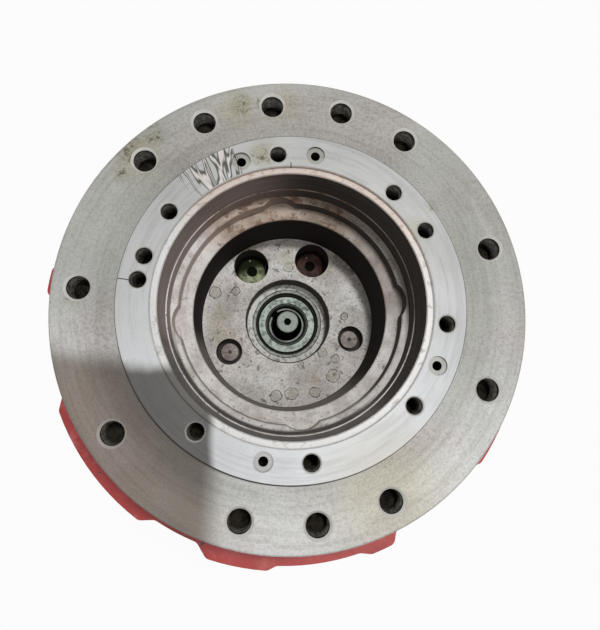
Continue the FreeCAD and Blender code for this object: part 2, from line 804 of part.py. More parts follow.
def end_cover():
    """The dished cover that closes the ring gear and that the unit stands on."""
    body = new_body("end_cover")
    turned(body, [
        ("0", down(COVER_FLOOR)),
        ("cover_cavity_radius", down(COVER_FLOOR)),
        ("cover_cavity_radius", down(RING_BOTTOM)),
        ("hub_radius", down(RING_BOTTOM)),
        ("hub_radius", down(COVER_FLANGE_BOTTOM)),
        ("cover_dish_radius", down(COVER_FLANGE_BOTTOM)),
        ("cover_dish_radius", "cover_edge"),
        ("cover_dish_radius - cover_edge", "0"),
        ("0", "0"),
    ])
    turns = ["360 / cover_bolt_count * %d" % n for n in range(int(size("cover_bolt_count")))]
    round_pockets(body, "BoltHoles", RING_BOTTOM, "cover_flange_thick",
                  "cover_bolt_radius + cover_bolt_play", "cover_bolt_circle", turns)
    round_pockets(body, "PlugSeats", "height", "plug_seat_deep", "plug_head_radius",
                  "plug_circle", PLUGS, upwards=True)
    round_pockets(body, "PlugHoles", "height", "cover_floor_thick", "plug_radius",
                  "plug_circle", PLUGS, upwards=True)
    turned(new_body("thrust_button"), [
        ("0", down(COVER_FLOOR)),
        ("button_radius", down(COVER_FLOOR)),
        ("button_radius", down(COVER_FLOOR + " - button_tall")),
        ("0", down(COVER_FLOOR + " - button_tall")),
    ])


def cover_bolts():
    """Long hexagon bolts through the cover and the ring gear into the hub."""
    bolts = []
    seat = value(COVER_FLANGE_BOTTOM)
    for angle in around(size("cover_bolt_count")):
        shank = rod(size("cover_bolt_radius"), size("cover_bolt_top") + size("bolt_end_gap"), seat,
                    size("cover_bolt_circle"), angle)
        head = hexagon_bar(size("cover_bolt_head"), seat, seat + size("cover_bolt_head_tall"),
                           size("cover_bolt_circle"), angle)
        bolts.append(shank.fuse(head).removeSplitter())
    feature_node("cover_bolts", Part.makeCompound(bolts))


def oil_plugs():
    """Fill, level and drain plugs with hexagon sockets, sunk in the cover."""
    plugs = []
    for angle in (float(text) for text in PLUGS):
        at = (size("plug_circle"), angle)
        stem = rod(size("plug_radius"), value(COVER_FLOOR), value(PLUG_HEAD_TOP), *at)
        face = value("height - plug_head_sunk")
        head = rod(size("plug_head_radius") - size("plug_head_play"), value(PLUG_HEAD_TOP), face, *at)
        socket_end = value("height - plug_socket_deep")
        socket = hexagon_bar(size("plug_socket_radius"), socket_end, size("height"), *at)
        plugs.append(stem.fuse(head).cut(socket))
    feature_node("oil_plugs", Part.makeCompound(plugs))


def second_carrier():
    """The still carrier: two plates joined by three posts and bolted to the spindle nose."""
    body = new_body("second_carrier")
    lower = "second_top + second_width"
    end = lower + " + second_plate"
    turned(body, ring_points("second_carrier_bore", "second_carrier_radius", "nose_face", "second_top"),
           "UpperPlate")
    posts = new_sketch(body, "Posts", at=down(end))
    for angle in POSTS:
        circle(posts, "web_post_radius", "web_post_circle", angle)
    padded(body, posts, "second_width + second_plate", "PostPad")
    turned(body, ring_points("second_carrier_bore", "second_carrier_radius", lower, end), "LowerPlate")
    round_pockets(body, "PinHoles", end, end + " - second_pin_top", "second_pin_radius",
                  SECOND_ORBIT, PLANETS, upwards=True)
    round_pockets(body, "BoltHoles", end, end + " - nose_face", "carrier_bolt_radius + cover_bolt_play",
                  "web_post_circle", POSTS, upwards=True)
    round_pockets(body, "BoltSeats", end, "carrier_bolt_head_tall", "carrier_bolt_head + cover_bolt_play",
                  "web_post_circle", POSTS, upwards=True)
    round_pockets(body, "DowelHoles", "nose_face", "dowel_half", "dowel_radius", "dowel_circle", DOWELS)


def carrier_fasteners():
    bolts = []
    dowels = []
    seat = size("second_top") + size("second_width") + size("second_plate") - size("carrier_bolt_head_tall")
    for angle in (float(text) for text in POSTS):
        at = (size("web_post_circle"), angle)
        tip = value("nose_face - carrier_bolt_grip + bolt_end_gap")
        shank = rod(size("carrier_bolt_radius"), tip, seat, *at)
        head = rod(size("carrier_bolt_head"), seat, seat + size("carrier_bolt_head_tall"), *at)
        bolts.append(shank.fuse(head))
    for angle in (float(text) for text in DOWELS):
        face = size("nose_face")
        dowels.append(rod(size("dowel_radius"), face - size("dowel_half"), face + size("dowel_half"),
                          size("dowel_circle"), angle))
    feature_node("carrier_bolts", Part.makeCompound(bolts))
    feature_node("carrier_dowels", Part.makeCompound(dowels))


def planet_pins(label, radius, top, bottom, orbit, groove=None):
    pins = []
    for angle in (float(text) for text in PLANETS):
        pin = rod(radius, top, bottom, orbit, angle)
        if groove is not None:
            pin = pin.cut(washer(radius - size("clip_grip"), radius + 1, groove,
                                 groove + size("clip_thick"), orbit, angle))
        pins.append(pin)
    feature_node(label, Part.makeCompound(pins))


def thrust_washers(label, inner, outer, top, width, orbit):
    """A washer above and below each planet."""
    thick = size("washer_thick")
    washers = []
    for angle in (float(text) for text in PLANETS):
        washers.append(washer(inner, outer, top, top + thick, orbit, angle))
        washers.append(washer(inner, outer, top + width - thick, top + width, orbit, angle))
    feature_node(label, Part.makeCompound(washers))


def sun_phase(sun_teeth, planet_teeth):
    """The turn of a sun, in degrees, that meshes with planets that fit the ring gear."""
    ring_teeth = size("ring_teeth")
    first = float(PLANETS[0])
    share = first * (ring_teeth + sun_teeth) / 360 + planet_teeth / 2 - 0.5
    return (share * 360 / sun_teeth) % (360 / sun_teeth)


def planets(stage, sun_teeth, top, width, pin_radius, wall):
    """Three planet gears with their pressed bushes, each turned to fit the ring gear."""
    ring_teeth = size("ring_teeth")
    teeth = (ring_teeth - sun_teeth) / 2
    half = size("tooth_module") / 2
    orbit = orbit_radius(stage)
    high = top + size("washer_thick") + size("running_gap")
    low = top + width - size("washer_thick") - size("running_gap")
    tip = half * teeth + size("tooth_module")
    root = half * teeth - size("tooth_module") - size("tip_gap")
    blank = toothed_bar(teeth, root, tip, size("backlash") / 2, high, low)
    gear = blank.cut(rod(pin_radius + wall, high - 1, low + 1))
    bush = washer(pin_radius + size("slide_gap"), pin_radius + wall, high, low)
    for number, text in enumerate(PLANETS, start=1):
        angle = float(text)
        spin = angle * (1 - ring_teeth / teeth)
        middle = V(orbit * math.cos(math.radians(angle)), orbit * math.sin(math.radians(angle)), 0)
        place = FreeCAD.Placement(middle, FreeCAD.Rotation(UP, spin))
        feature_node("%s_planet_%d" % (stage, number), gear.copy(), place)
        feature_node("%s_bush_%d" % (stage, number), bush.copy(), place)


def second_stage():
    """Sun, planets and still carrier of the output stage."""
    second_carrier()
    carrier_fasteners()
    top = size("second_top")
    width = size("second_width")
    orbit = orbit_radius("second")
    planet_pins("second_planet_pins", size("second_pin_radius"), size("second_pin_top"),
                top + width + size("second_plate"), orbit)
    thrust_washers("second_thrust_washers", size("second_pin_radius"), size("washer_radius"),
                   top, width, orbit)
    planets("second", size("second_sun_teeth"), top, width, size("second_pin_radius"),
            size("second_bush_wall"))


def second_sun_bar(grow, top, bottom):
    """The second sun's teeth, or with grow the splined hole that takes them."""
    teeth = size("second_sun_teeth")
    pitch = size("tooth_module") * teeth / 2
    root = pitch - size("tooth_module") - size("tip_gap") + grow
    tip = pitch + size("tooth_module") + grow
    turn = sun_phase(teeth, (size("ring_teeth") - teeth) / 2)
    return toothed_bar(teeth, root, tip, size("backlash") / 2 - 2 * grow, top, bottom, phase=turn)


def first_stage():
    """Sun shaft, planets and turning carrier of the input stage."""
    plate_top = value(FIRST_TOP)
    plate_bottom = plate_top + size("first_plate")
    bottom = plate_bottom + size("first_width")
    orbit = orbit_radius("first")
    plate = rod(size("first_carrier_radius"), plate_top, plate_bottom)
    cuts = [second_sun_bar(size("spline_play"), plate_top - 1, plate_bottom + 1)]
    for angle in (float(text) for text in PLANETS):
        cuts.append(rod(size("first_pin_radius"), plate_top - 1, plate_bottom + 1, orbit, angle))
    feature_node("first_carrier", plate.cut(cuts))
    sun = second_sun_bar(0.0, size("second_top") + size("washer_thick"), plate_bottom)
    feature_node("second_sun", sun.cut(rod(size("sun_bore"), size("second_top"), plate_bottom + 1)))
    planet_pins("first_planet_pins", size("first_pin_radius"), plate_top,
                bottom + size("first_pin_tail"), orbit, groove=bottom)
    thrust_washers("first_thrust_washers", size("first_pin_radius"), size("first_washer_radius"),
                   plate_bottom, size("first_width"), orbit)
    clips = []
    for angle in (float(text) for text in PLANETS):
        clips.append(washer(size("first_pin_radius") - size("clip_grip"),
                            size("first_pin_radius") + size("clip_rim"),
                            bottom, bottom + size("clip_thick"), orbit, angle))
    feature_node("first_pin_clips", Part.makeCompound(clips))
    planets("first", size("first_sun_teeth"), plate_bottom, size("first_width"),
            size("first_pin_radius"), size("first_bush_wall"))


def input_shaft():
    """The first sun, in one piece with the shaft that the motor drives."""
    teeth = size("first_sun_teeth")
    pitch = size("tooth_module") * teeth / 2
    top = value(FIRST_TOP + " + first_plate + washer_thick + running_gap")
    bottom = value(FIRST_TOP + " + first_plate + first_width")
    root = pitch - size("tooth_module") - size("tip_gap")
    tip = pitch + size("tooth_module")
    turn = sun_phase(teeth, (size("ring_teeth") - teeth) / 2)
    gear = toothed_bar(teeth, root, tip, size("backlash") / 2, top, bottom, phase=turn)
    tail = value(COVER_FLOOR + " - button_tall - running_gap")
    radius = size("shaft_radius")
    chamfer = size("shaft_chamfer")
    shoulder = size("shaft_top") + chamfer
    shaft = rod(radius, shoulder, tail)
    end = Part.makeCone(radius, radius - chamfer, chamfer, V(0, 0, level(shoulder)))
    centre = rod(size("shaft_centre_radius"), size("shaft_top") - 1, value("shaft_top + shaft_centre_deep"))
    feature_node("input_shaft", shaft.fuse([end, gear]).cut(centre).removeSplitter())


def shaft_seal():
    """The lip seal in the web and the split ring below it."""
    top = "shaft_seal_top"
    turned(new_body("shaft_seal_case"), [
        ("seal_case_inner", down(top)),
        ("seal_case_outer", down(top)),
        ("seal_case_outer", down("seal_seat_floor - shaft_seal_wall")),
        ("seal_case_outer - shaft_seal_wall", down("seal_seat_floor - shaft_seal_wall")),
        ("seal_case_outer - shaft_seal_wall", down(top + " + shaft_seal_wall")),
        ("seal_case_inner", down(top + " + shaft_seal_wall")),
    ])
    turned(new_body("shaft_seal_lip"), [
        ("nose_bore_radius", down("seal_seat_floor")),
        ("seal_seat_radius", down("seal_seat_floor")),
        ("seal_seat_radius", down(top)),
        ("seal_case_outer", down(top)),
        ("seal_case_outer", down("seal_seat_floor - shaft_seal_wall")),
        ("seal_case_inner", down("seal_seat_floor - shaft_seal_wall")),
        ("seal_case_inner", down(top)),
        ("nose_bore_radius", down(top)),
    ])
    top = size("split_ring_top")
    bottom = top + size("split_ring_thick")
    outer = size("nose_bore_radius") + size("split_ring_grip")
    ring = washer(size("split_ring_inner"), outer, top, bottom)
    gap = Part.makeBox(outer, size("split_ring_gap"), bottom - top + 2,
                       V(0, -size("split_ring_gap") / 2, level(bottom) - 1))
    gap.rotate(V(), UP, size("split_ring_turn"))
    feature_node("split_ring", ring.cut(gap))


def motor_bore_parts():
    """What is left of the motor in its bore: two swash pivots and two control pistons."""
    pivots = []
    radius = size("pivot_radius")
    centre = size("pivot_centre_radius")
    shoulder = value("pivot_top + pivot_crown")
    for sign in (1, -1):
        at = (size("pivot_circle"), 90 + sign * size("pivot_angle"))
        stem = rod(radius, shoulder, size("pivot_floor"), *at)
        turn = math.radians(at[1])
        foot = V(at[0] * math.cos(turn), at[0] * math.sin(turn), level(shoulder))
        crown = Part.makeCone(radius - size("edge_chamfer"), centre, size("pivot_crown"), foot)
        drilled = rod(centre, size("pivot_top") - 1, value("pivot_top + pivot_centre_deep"), *at)
        pivots.append(stem.fuse(crown).cut(drilled))
    feature_node("swash_pivots", Part.makeCompound(pivots))
    for label, sign in (("control_piston_left", "+"), ("control_piston_right", "-")):
        body = new_body(label)
        turned(body, [
            ("0", down("piston_tail")),
            ("piston_radius - slide_gap", down("piston_tail")),
            ("piston_radius - slide_gap", down("piston_face + piston_chamfer")),
            ("piston_radius - piston_chamfer", down("piston_face")),
            ("piston_dimple", down("piston_face")),
            ("piston_dimple", down("piston_face + piston_dimple_deep")),
            ("0", down("piston_face + piston_dimple_deep")),
        ])
        turn = "((90 %s piston_angle) * 1 deg)" % sign
        body.setExpression("Placement.Base.x", bound("piston_circle * cos" + turn))
        body.setExpression("Placement.Base.y", bound("piston_circle * sin" + turn))


def write_parts():
    """Checks every object and writes one file for each sub-part."""
    doc.recompute()
    for item in doc.Objects:
        if "Invalid" in item.State or "Error" in item.State:
            raise RuntimeError("%s did not rebuild: %s" % (item.Label, item.State))
    for node in NODES:
        if node.Shape.isNull() or not node.Shape.isValid():
            raise RuntimeError("%s has no valid shape" % node.Label)
    os.makedirs("parts", exist_ok=True)
    for node in NODES:
        node.Shape.exportStep("parts/%s.step" % node.Label)


spindle_housing()
floating_seal()
main_bearing("upper", "upper_bearing_top")
main_bearing("lower", "lower_bearing_top")
bearing_nut()
hub_housing()
ring_gear()
end_cover()
cover_bolts()
oil_plugs()
second_stage()
first_stage()
input_shaft()
shaft_seal()
motor_bore_parts()
write_parts()
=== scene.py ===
import bmesh
import bpy
import json
import math
from mathutils import Matrix, Vector

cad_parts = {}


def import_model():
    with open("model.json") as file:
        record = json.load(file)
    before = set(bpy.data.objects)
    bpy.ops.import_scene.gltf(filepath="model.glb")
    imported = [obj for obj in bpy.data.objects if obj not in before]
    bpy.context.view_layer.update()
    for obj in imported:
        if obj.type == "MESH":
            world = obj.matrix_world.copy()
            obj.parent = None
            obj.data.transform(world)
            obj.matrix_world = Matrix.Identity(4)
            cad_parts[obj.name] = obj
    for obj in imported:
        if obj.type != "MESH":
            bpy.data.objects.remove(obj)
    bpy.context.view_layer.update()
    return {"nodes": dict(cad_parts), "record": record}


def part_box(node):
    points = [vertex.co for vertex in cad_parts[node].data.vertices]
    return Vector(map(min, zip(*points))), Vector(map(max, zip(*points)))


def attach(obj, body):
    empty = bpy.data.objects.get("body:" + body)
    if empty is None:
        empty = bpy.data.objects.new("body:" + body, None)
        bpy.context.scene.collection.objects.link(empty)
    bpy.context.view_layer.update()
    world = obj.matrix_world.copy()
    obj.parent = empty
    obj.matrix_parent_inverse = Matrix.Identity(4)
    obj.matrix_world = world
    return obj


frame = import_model()

# Excavator final drive, seen down its open motor bore. Metres, in the CAD frame: Z is the turning
# axis and the open end is up. Depths are measured down from the raised pilot face.

MM = 0.001
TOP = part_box("spindle_housing")[1].z

# Radii and depths at which the finishes change
PILOT_RADIUS = 145.2 * MM
FLANGE_DEPTH = 8.0 * MM
MOUTH_RADIUS = 117.3 * MM
BORE_RADIUS = 111.9 * MM
LEDGE_DEPTH = 55.0 * MM
SECOND_LEDGE_DEPTH = 70.0 * MM
WEB_DEPTH = 140.0 * MM
WEB_REACH = 95.0 * MM
SEAT_RADIUS = 45.0 * MM
SHELF_DEPTHS = (165.5 * MM, 170.0 * MM)
SHELF_STEP_RADIUS = 38.4 * MM
SEAL_WALL_RADIUS = 35.9 * MM
SEAL_WALL_DEPTH = 168.4 * MM
PISTON_DEPTH = 169.0 * MM
HUB_INSIDE_RADIUS = 176.2 * MM
HUB_INSIDE_END = 328.0 * MM
CASE_RIM_RADIUS = 31.7 * MM
CASE_BORE_RADIUS = 24.4 * MM
SPLIT_RING_RADIUS = 23.3 * MM
RING_GAPS = ((13.5 * MM, 16.2 * MM), (20.1 * MM, 21.3 * MM))
SHAFT_RADIUS = 12.0 * MM
SHAFT_END_DEPTH = 148.3 * MM
SHAFT_SIDE_DEPTHS = (151.5 * MM, 160.0 * MM)
CENTRE_HOLE_RADIUS = 4.0 * MM
OILY_RADIUS = 22.6 * MM
PIVOT_CIRCLE = 71.3 * MM
PIVOT_ANGLE = math.radians(111.9)
PIVOT_ACROSS = PIVOT_CIRCLE * math.sin(PIVOT_ANGLE)
PIVOT_ALONG = PIVOT_CIRCLE * math.cos(PIVOT_ANGLE)

# Tapped holes: their angles in degrees, circles, radii, pitches and the depths of their threads
FRAME_HOLES = [90 + 20 * place for place in (2, 1, 0, -1, -2, -4, -6, -8, -9, -10, -12, 4)]
FRAME_HOLE_CIRCLE = 178.1 * MM
FRAME_HOLE_RADIUS = 9.75 * MM
FRAME_PITCH = 2.5 * MM
FRAME_THREAD = (FLANGE_DEPTH + 4.0 * MM, FLANGE_DEPTH + 20.0 * MM)
COVER_HOLES = (90, 42, 23, -14, -47, -90, -133, 166, 157, 138)
COVER_HOLE_CIRCLE = 129.05 * MM
COVER_HOLE_RADIUS = 7.0 * MM
COVER_PITCH = 2.0 * MM
COVER_THREAD = (4.0 * MM, 26.0 * MM)
RIDGE_STEPS = 20
RIDGE_HEIGHT = 0.5
RIDGE_HALF_WIDTH = 0.42
RIDGE_LEAST = 0.05
RIDGE_ROOT = 0.1 * MM

# Rings of the plan and depths that hold the walls of the holes and ports, and their chamfers
FRAME_CHAMFERS = (164.0 * MM, 192.0 * MM)
COVER_CHAMFERS = (119.0 * MM, 139.5 * MM)
CHAMFER_END = 12.0 * MM
FRAME_WALLS = (155.0 * MM, 194.0 * MM)
FRAME_WALL_DEPTHS = (10.1 * MM, 50.0 * MM)
COVER_WALLS = (118.5 * MM, 141.5 * MM)
COVER_WALL_DEPTHS = (2.8 * MM, 50.0 * MM)
PORT_WALLS = (120.5 * MM, 137.8 * MM)
PORT_WALL_DEPTHS = (0.6 * MM, 2.1 * MM)
PORT_FLOOR_DEPTHS = (2.1 * MM, 2.6 * MM)

# Tones as they look on a screen
FLANGE_DARK = (202, 202, 199)
FLANGE_LIGHT = (220, 220, 218)
PILOT_DARK = (194, 195, 196)
PILOT_LIGHT = (211, 212, 214)
# The painted shade's tones: near the pilot, further out on the flange, and on the pilot
SHADE_NEAR_PILOT = (116, 106, 95)
SHADE_OUTSIDE = (156, 144, 133)
SHADE_ON_PILOT = (84, 79, 73)
WEB_LIGHT = (248, 246, 242)
WEB_DARK = (210, 206, 200)

# The painted shade at the lower left, a dark tone of the surface: its turn, its two edges, and the radii over
# which it gets paler
SHADE_TURN = math.radians(6.2)
SHADE_RIGHT = -65.0 * MM
SHADE_TOP = -46.0 * MM
SHADE_FADE = (148.0 * MM, 188.0 * MM)

# Where other tones fade: the flange inwards, the painted shade on both rings towards the upper right, the
# painted shade in the first ledge's corner, the enamel's painted shade to the left, the pistons' painted
# shadow upwards, and all that changes at the middle
FLANGE_FADE = (184.0 * MM, 154.0 * MM)
RING_SHADE_LEAN = (0.25, 0.97)
RING_SHADE_FADE = (-140.0 * MM, 140.0 * MM)
CORNER_SHADE_FADE = (107.5 * MM, 110.0 * MM)
ENAMEL_SHADE_FADE = (-90.0 * MM, -170.0 * MM)
PISTON_SHADE_LEAN = -0.25
PISTON_SHADE_FADE = (80.0 * MM, 66.0 * MM)
MIDDLE_FADE = (-2.0 * MM, 2.0 * MM)

# How close the turned rings lie on iron and steel, and the specular levels
IRON_RINGS = 2200.0
STEEL_RINGS = 2600.0
PLAIN_GLOSS = 0.5
RUBBER_GLOSS = 0.25
OILY_IRON_GLOSS = 0.15
OILY_STEEL_GLOSS = 0.1

# Parts of the turn, in degrees: where each side's fade starts and ends. The walls' lit part has two fades,
# as it runs across the angle where the turn closes
RIM_TOP = ((-10.0, 40.0), (150.0, 120.0))
LEDGE_TOP = ((40.0, 62.0), (142.0, 118.0))
# The ledges' painted shade, at the right
LEDGE_SHADE = ((-24.0, 12.0), (84.0, 56.0))
# Where the bore's walls are painted lit: the lower side, and the part at the upper left
LOW_SIDE = ((-180.0, -160.0), (-40.0, -70.0))
LIT_START = (74.0, 112.0)
LIT_END = (-160.0, -180.0)
SMEAR_ANGLES = (108.0, 129.0)

# Marks on the plan in millimetres: across, along and size. The glints are painted highlights of one size
OIL_STAINS = ((-124, 146, 12), (-133, 124, 7), (-104, 158, 8), (-28, 181, 9), (-14, 129, 8), (-8, 181, 6),
              (-178, 25, 8), (62, 168, 5), (128, 72, 6))
YELLOW_STAINS = ((-32, 176, 14), (-12, 131, 11), (-116, 138, 17), (10, 178, 14), (112, 52, 9), (60, -160, 40))
IMPRINTS = ((-76, 38.6, 5), (-21, -79.3, 4.5), (42.3, -64.5, 6), (8.2, -47.9, 2.6), (21, -79.3, 4.5),
            (-4, -78.4, 5.5), (7.2, 59.8, 4), (-53.6, 38.6, 4), (47, -46, 3), (33, -38, 4), (62, -2, 3))
OIL_GLINTS = ((-35.1, 77.4), (31.1, 74.8))
GLINT_SIZE = 0.7
GLINT_SOFT = 0.5

# Scribed lines: the angle in degrees, and the radii in millimetres between which each runs
SCRIBED = ((166.6, 135.4, 144.6), (85.2, 116.8, 121.0))

# Floor and sky
FLOOR_HALF = 4.0
FLOOR_LEVEL = -0.2 * MM
FLOOR_GREY = (0.85, 0.85, 0.85, 1)
FLOOR_WHITE_SHARE = 0.95
WHITE = (1, 1, 1, 1)
SKY = (0.95, 0.97, 1.0, 1)
SKY_STRENGTH = 0.15

# Square lamps: place, size and power
LAMPS = {
    "key": ((0.24, 0.29, 1.9), 0.15, 11.8),
    "fill": ((0.28, -0.62, 1.9), 0.8, 4.0),
    "left": ((-1.4, 0.6, 1.2), 1.0, 1.5),
}

# The camera, from the photo's height and focal length in pixels and the row that its axis meets
PHOTO_HEIGHT = 630
FOCAL_PIXELS = 509.3
AXIS_ROW = 300
SENSOR = 36.0
NEAREST = 10.0 * MM
CAMERA_RIGHT = Vector((0.99219, -0.10850, 0.06150))
CAMERA_UP = Vector((0.09810, 0.98343, 0.15246))
CAMERA_PLACE = Vector((-0.02743, -0.05984, 0.41329 + TOP))


# Node graphs


class Graph:
    """A material's node tree, with short calls for the nodes that it uses."""

    # Where a Mix node keeps its share, its two values and its result, for colours and for numbers
    COLOUR_INPUTS = (0, 6, 7)
    COLOUR_OUTPUT = 2
    NUMBER_INPUTS = (0, 2, 3)
    NUMBER_OUTPUT = 0

    def __init__(self, name):
        self.material = bpy.data.materials.new(name)
        self.material.use_nodes = True
        self.tree = self.material.node_tree
        self.tree.nodes.clear()
        self.place = self.node("ShaderNodeTexCoord").outputs["Object"]
        self.across, self.along, self.up = self.split(self.place)

    def node(self, kind, **settings):
        made = self.tree.nodes.new(kind)
        for name, value in settings.items():
            setattr(made, name, value)
        return made

    def feed(self, socket, value):
        """Links a socket, or sets it to a plain value."""
        if isinstance(value, bpy.types.NodeSocket):
            self.tree.links.new(value, socket)
        elif hasattr(socket.default_value, "__len__") and not hasattr(value, "__len__"):
            socket.default_value = [value] * len(socket.default_value)
        elif hasattr(value, "__len__") and len(socket.default_value) == 4 and len(value) == 3:
            socket.default_value = (*value, 1.0)
        else:
            socket.default_value = value

    def split(self, vector):
        made = self.node("ShaderNodeSeparateXYZ")
        self.feed(made.inputs[0], vector)
        return made.outputs[0], made.outputs[1], made.outputs[2]

    def join(self, *parts):
        """A vector from its parts. One that isn't given is 0."""
        made = self.node("ShaderNodeCombineXYZ")
        for socket, value in zip(made.inputs, parts):
            self.feed(socket, value)
        return made.outputs[0]

    def math(self, operation, *values, clamp=False):
        made = self.node("ShaderNodeMath", operation=operation, use_clamp=clamp)
        for socket, value in zip(made.inputs, values):
            self.feed(socket, value)
        return made.outputs[0]

    def chain(self, operation, first, *others):
        """One operation over all the values, from the first to the last."""
        for value in others:
            first = self.math(operation, first, value)
        return first

    def times(self, *values):
        return self.chain("MULTIPLY", *values)

    def plus(self, *values):
        return self.chain("ADD", *values)

    def most(self, *values):
        return self.chain("MAXIMUM", *values)

    def minus(self, first, second, clamp=False):
        return self.math("SUBTRACT", first, second, clamp=clamp)

    def distance(self, across, along):
        squares = self.plus(self.times(across, across), self.times(along, along))
        return self.math("SQRT", squares)

    def radius(self):
        """The distance from the turning axis."""
        return self.distance(self.across, self.along)

    def angle(self):
        """The angle round the turning axis, in degrees from +X."""
        return self.times(self.math("ARCTAN2", self.along, self.across), 180 / math.pi)

    def depth(self):
        """The depth below the raised pilot face."""
        return self.minus(TOP, self.up)

    def level(self):
        """1 where the surface lies flat and 0 where it is upright."""
        normal = self.split(self.node("ShaderNodeNewGeometry").outputs["Normal"])
        return self.math("ABSOLUTE", normal[2])

    def noise(self, scale, detail=4.0, rough=0.55, vector=None, bend=0.0):
        made = self.node("ShaderNodeTexNoise")
        self.feed(made.inputs["Vector"], self.place if vector is None else vector)
        made.inputs["Scale"].default_value = scale
        made.inputs["Detail"].default_value = detail
        made.inputs["Roughness"].default_value = rough
        made.inputs["Distortion"].default_value = bend
        return made.outputs["Fac"]

    def lines(self, value):
        """Noise along one measure, such as the fine rings of a turned face."""
        made = self.node("ShaderNodeTexNoise", noise_dimensions="1D")
        self.feed(made.inputs["W"], value)
        return made.outputs["Fac"]

    def step(self, value, low, high):
        """0 below low and 1 above high, or the other way round if low is the larger."""
        made = self.node("ShaderNodeMapRange", interpolation_type="SMOOTHSTEP", clamp=True)
        self.feed(made.inputs["Value"], value)
        made.inputs["From Min"].default_value = min(low, high)
        made.inputs["From Max"].default_value = max(low, high)
        made.inputs["To Min"].default_value = 0.0 if low < high else 1.0
        made.inputs["To Max"].default_value = 1.0 if low < high else 0.0
        return made.outputs["Result"]

    def band(self, value, low, high, soft):
        """1 between low and high."""
        above = self.step(value, low - soft, low + soft)
        return self.times(above, self.step(value, high + soft, high - soft))

    def arc(self, angle, start, end):
        """1 over a part of the turn, given by the fades at its two sides."""
        return self.times(self.step(angle, *start), self.step(angle, *end))

    def mixed(self, inputs, values, **settings):
        made = self.node("ShaderNodeMix", **settings)
        for index, value in zip(inputs, values):
            self.feed(made.inputs[index], value)
        return made

    def mix(self, share, first, second):
        """A colour: the first where share is 0 and the second where it is 1."""
        made = self.mixed(self.COLOUR_INPUTS, (share, first, second), data_type="RGBA")
        return made.outputs[self.COLOUR_OUTPUT]

    def shade(self, share, colour, dark):
        """The colour times dark where share is 1."""
        made = self.mixed(self.COLOUR_INPUTS, (share, colour, dark), data_type="RGBA", blend_type="MULTIPLY")
        return made.outputs[self.COLOUR_OUTPUT]

    def blend(self, share, first, second):
        """A number: the first where share is 0 and the second where it is 1."""
        made = self.mixed(self.NUMBER_INPUTS, (share, first, second), data_type="FLOAT")
        return made.outputs[self.NUMBER_OUTPUT]

    def bump(self, height, distance, strength, under=None):
        made = self.node("ShaderNodeBump")
        self.feed(made.inputs["Height"], height)
        made.inputs["Distance"].default_value = distance
        made.inputs["Strength"].default_value = strength
        if under is not None:
            self.feed(made.inputs["Normal"], under)
        return made.outputs["Normal"]

    def round_place(self, radius, angle, outwards, around):
        """A place for noise that runs round the axis: fine along the radius, long along the angle."""
        turn = self.times(angle, math.pi / 180)
        across = self.times(self.math("COSINE", turn), around)
        along = self.times(self.math("SINE", turn), around)
        return self.join(self.times(radius, outwards), across, along)

    def streaks(self, across, upwards):
        """A place for noise with level streaks, long in the plan and fine along the height."""
        made = self.node("ShaderNodeVectorMath", operation="MULTIPLY")
        self.feed(made.inputs[0], self.place)
        made.inputs[1].default_value = (across, across, upwards)
        return made.outputs[0]

    def finish(self, colour, rough, metal=0.0, normal=None, gloss=PLAIN_GLOSS):
        shader = self.node("ShaderNodeBsdfPrincipled")
        self.feed(shader.inputs["Base Color"], colour)
        self.feed(shader.inputs["Roughness"], rough)
        self.feed(shader.inputs["Metallic"], metal)
        self.feed(shader.inputs["Specular IOR Level"], gloss)
        if normal is not None:
            self.feed(shader.inputs["Normal"], normal)
        return self.close(shader.outputs[0])

    def close(self, surface):
        """Ends the tree with a surface and returns the material."""
        out = self.node("ShaderNodeOutputMaterial")
        self.feed(out.inputs["Surface"], surface)
        return self.material


def srgb(red, green, blue):
    """A colour as it looks on a screen, 0 to 255, in linear light."""
    shares = [value / 255 for value in (red, green, blue)]
    return tuple(s / 12.92 if s <= 0.04045 else ((s + 0.055) / 1.055) ** 2.4 for s in shares)


# Marks


def away_from(g, across, along):
    """The distance on the plan from a point that is given in millimetres."""
    return g.distance(g.minus(g.across, across * MM), g.minus(g.along, along * MM))


def spot(g, across, along, size, soft):
    """1 inside a round spot at a point of the plan, in millimetres."""
    return g.step(away_from(g, across, along), (size + soft) * MM, (size - soft) * MM)


def imprint(g, across, along, size, ragged):
    """The thin ring that a round part leaves where it was pressed on."""
    away = g.plus(away_from(g, across, along), g.times(ragged, 7.0 * MM))
    return g.band(away, (size + 0.4) * MM, (size + 1.3) * MM, 0.45 * MM)


def painted_shade_share(g, on_pilot):
    """The painted shade over the lower left of both rings, as a share. It ends along two lines."""
    right = g.minus(g.times(g.across, math.cos(SHADE_TURN)), g.times(g.along, math.sin(SHADE_TURN)))
    rise = g.plus(g.times(g.across, math.sin(SHADE_TURN)), g.times(g.along, math.cos(SHADE_TURN)))
    wander = g.minus(g.noise(12, 4.0), 0.5)
    right = g.plus(right, g.times(wander, 10.0 * MM))
    rise = g.plus(rise, g.times(wander, 30.0 * MM))
    sharp_edge = g.step(right, SHADE_RIGHT + 4.0 * MM, SHADE_RIGHT - 5.0 * MM)
    soft_edge = g.step(right, SHADE_RIGHT + 14.0 * MM, SHADE_RIGHT - 12.0 * MM)
    sharp_top = g.step(rise, SHADE_TOP + 2.0 * MM, SHADE_TOP - 12.0 * MM)
    soft_top = g.step(rise, SHADE_TOP + 16.0 * MM, SHADE_TOP - 12.0 * MM)
    cloud = g.blend(g.noise(14, 4.0), 0.84, 1.0)
    return g.times(g.blend(on_pilot, soft_edge, sharp_edge), g.blend(on_pilot, soft_top, sharp_top), cloud)


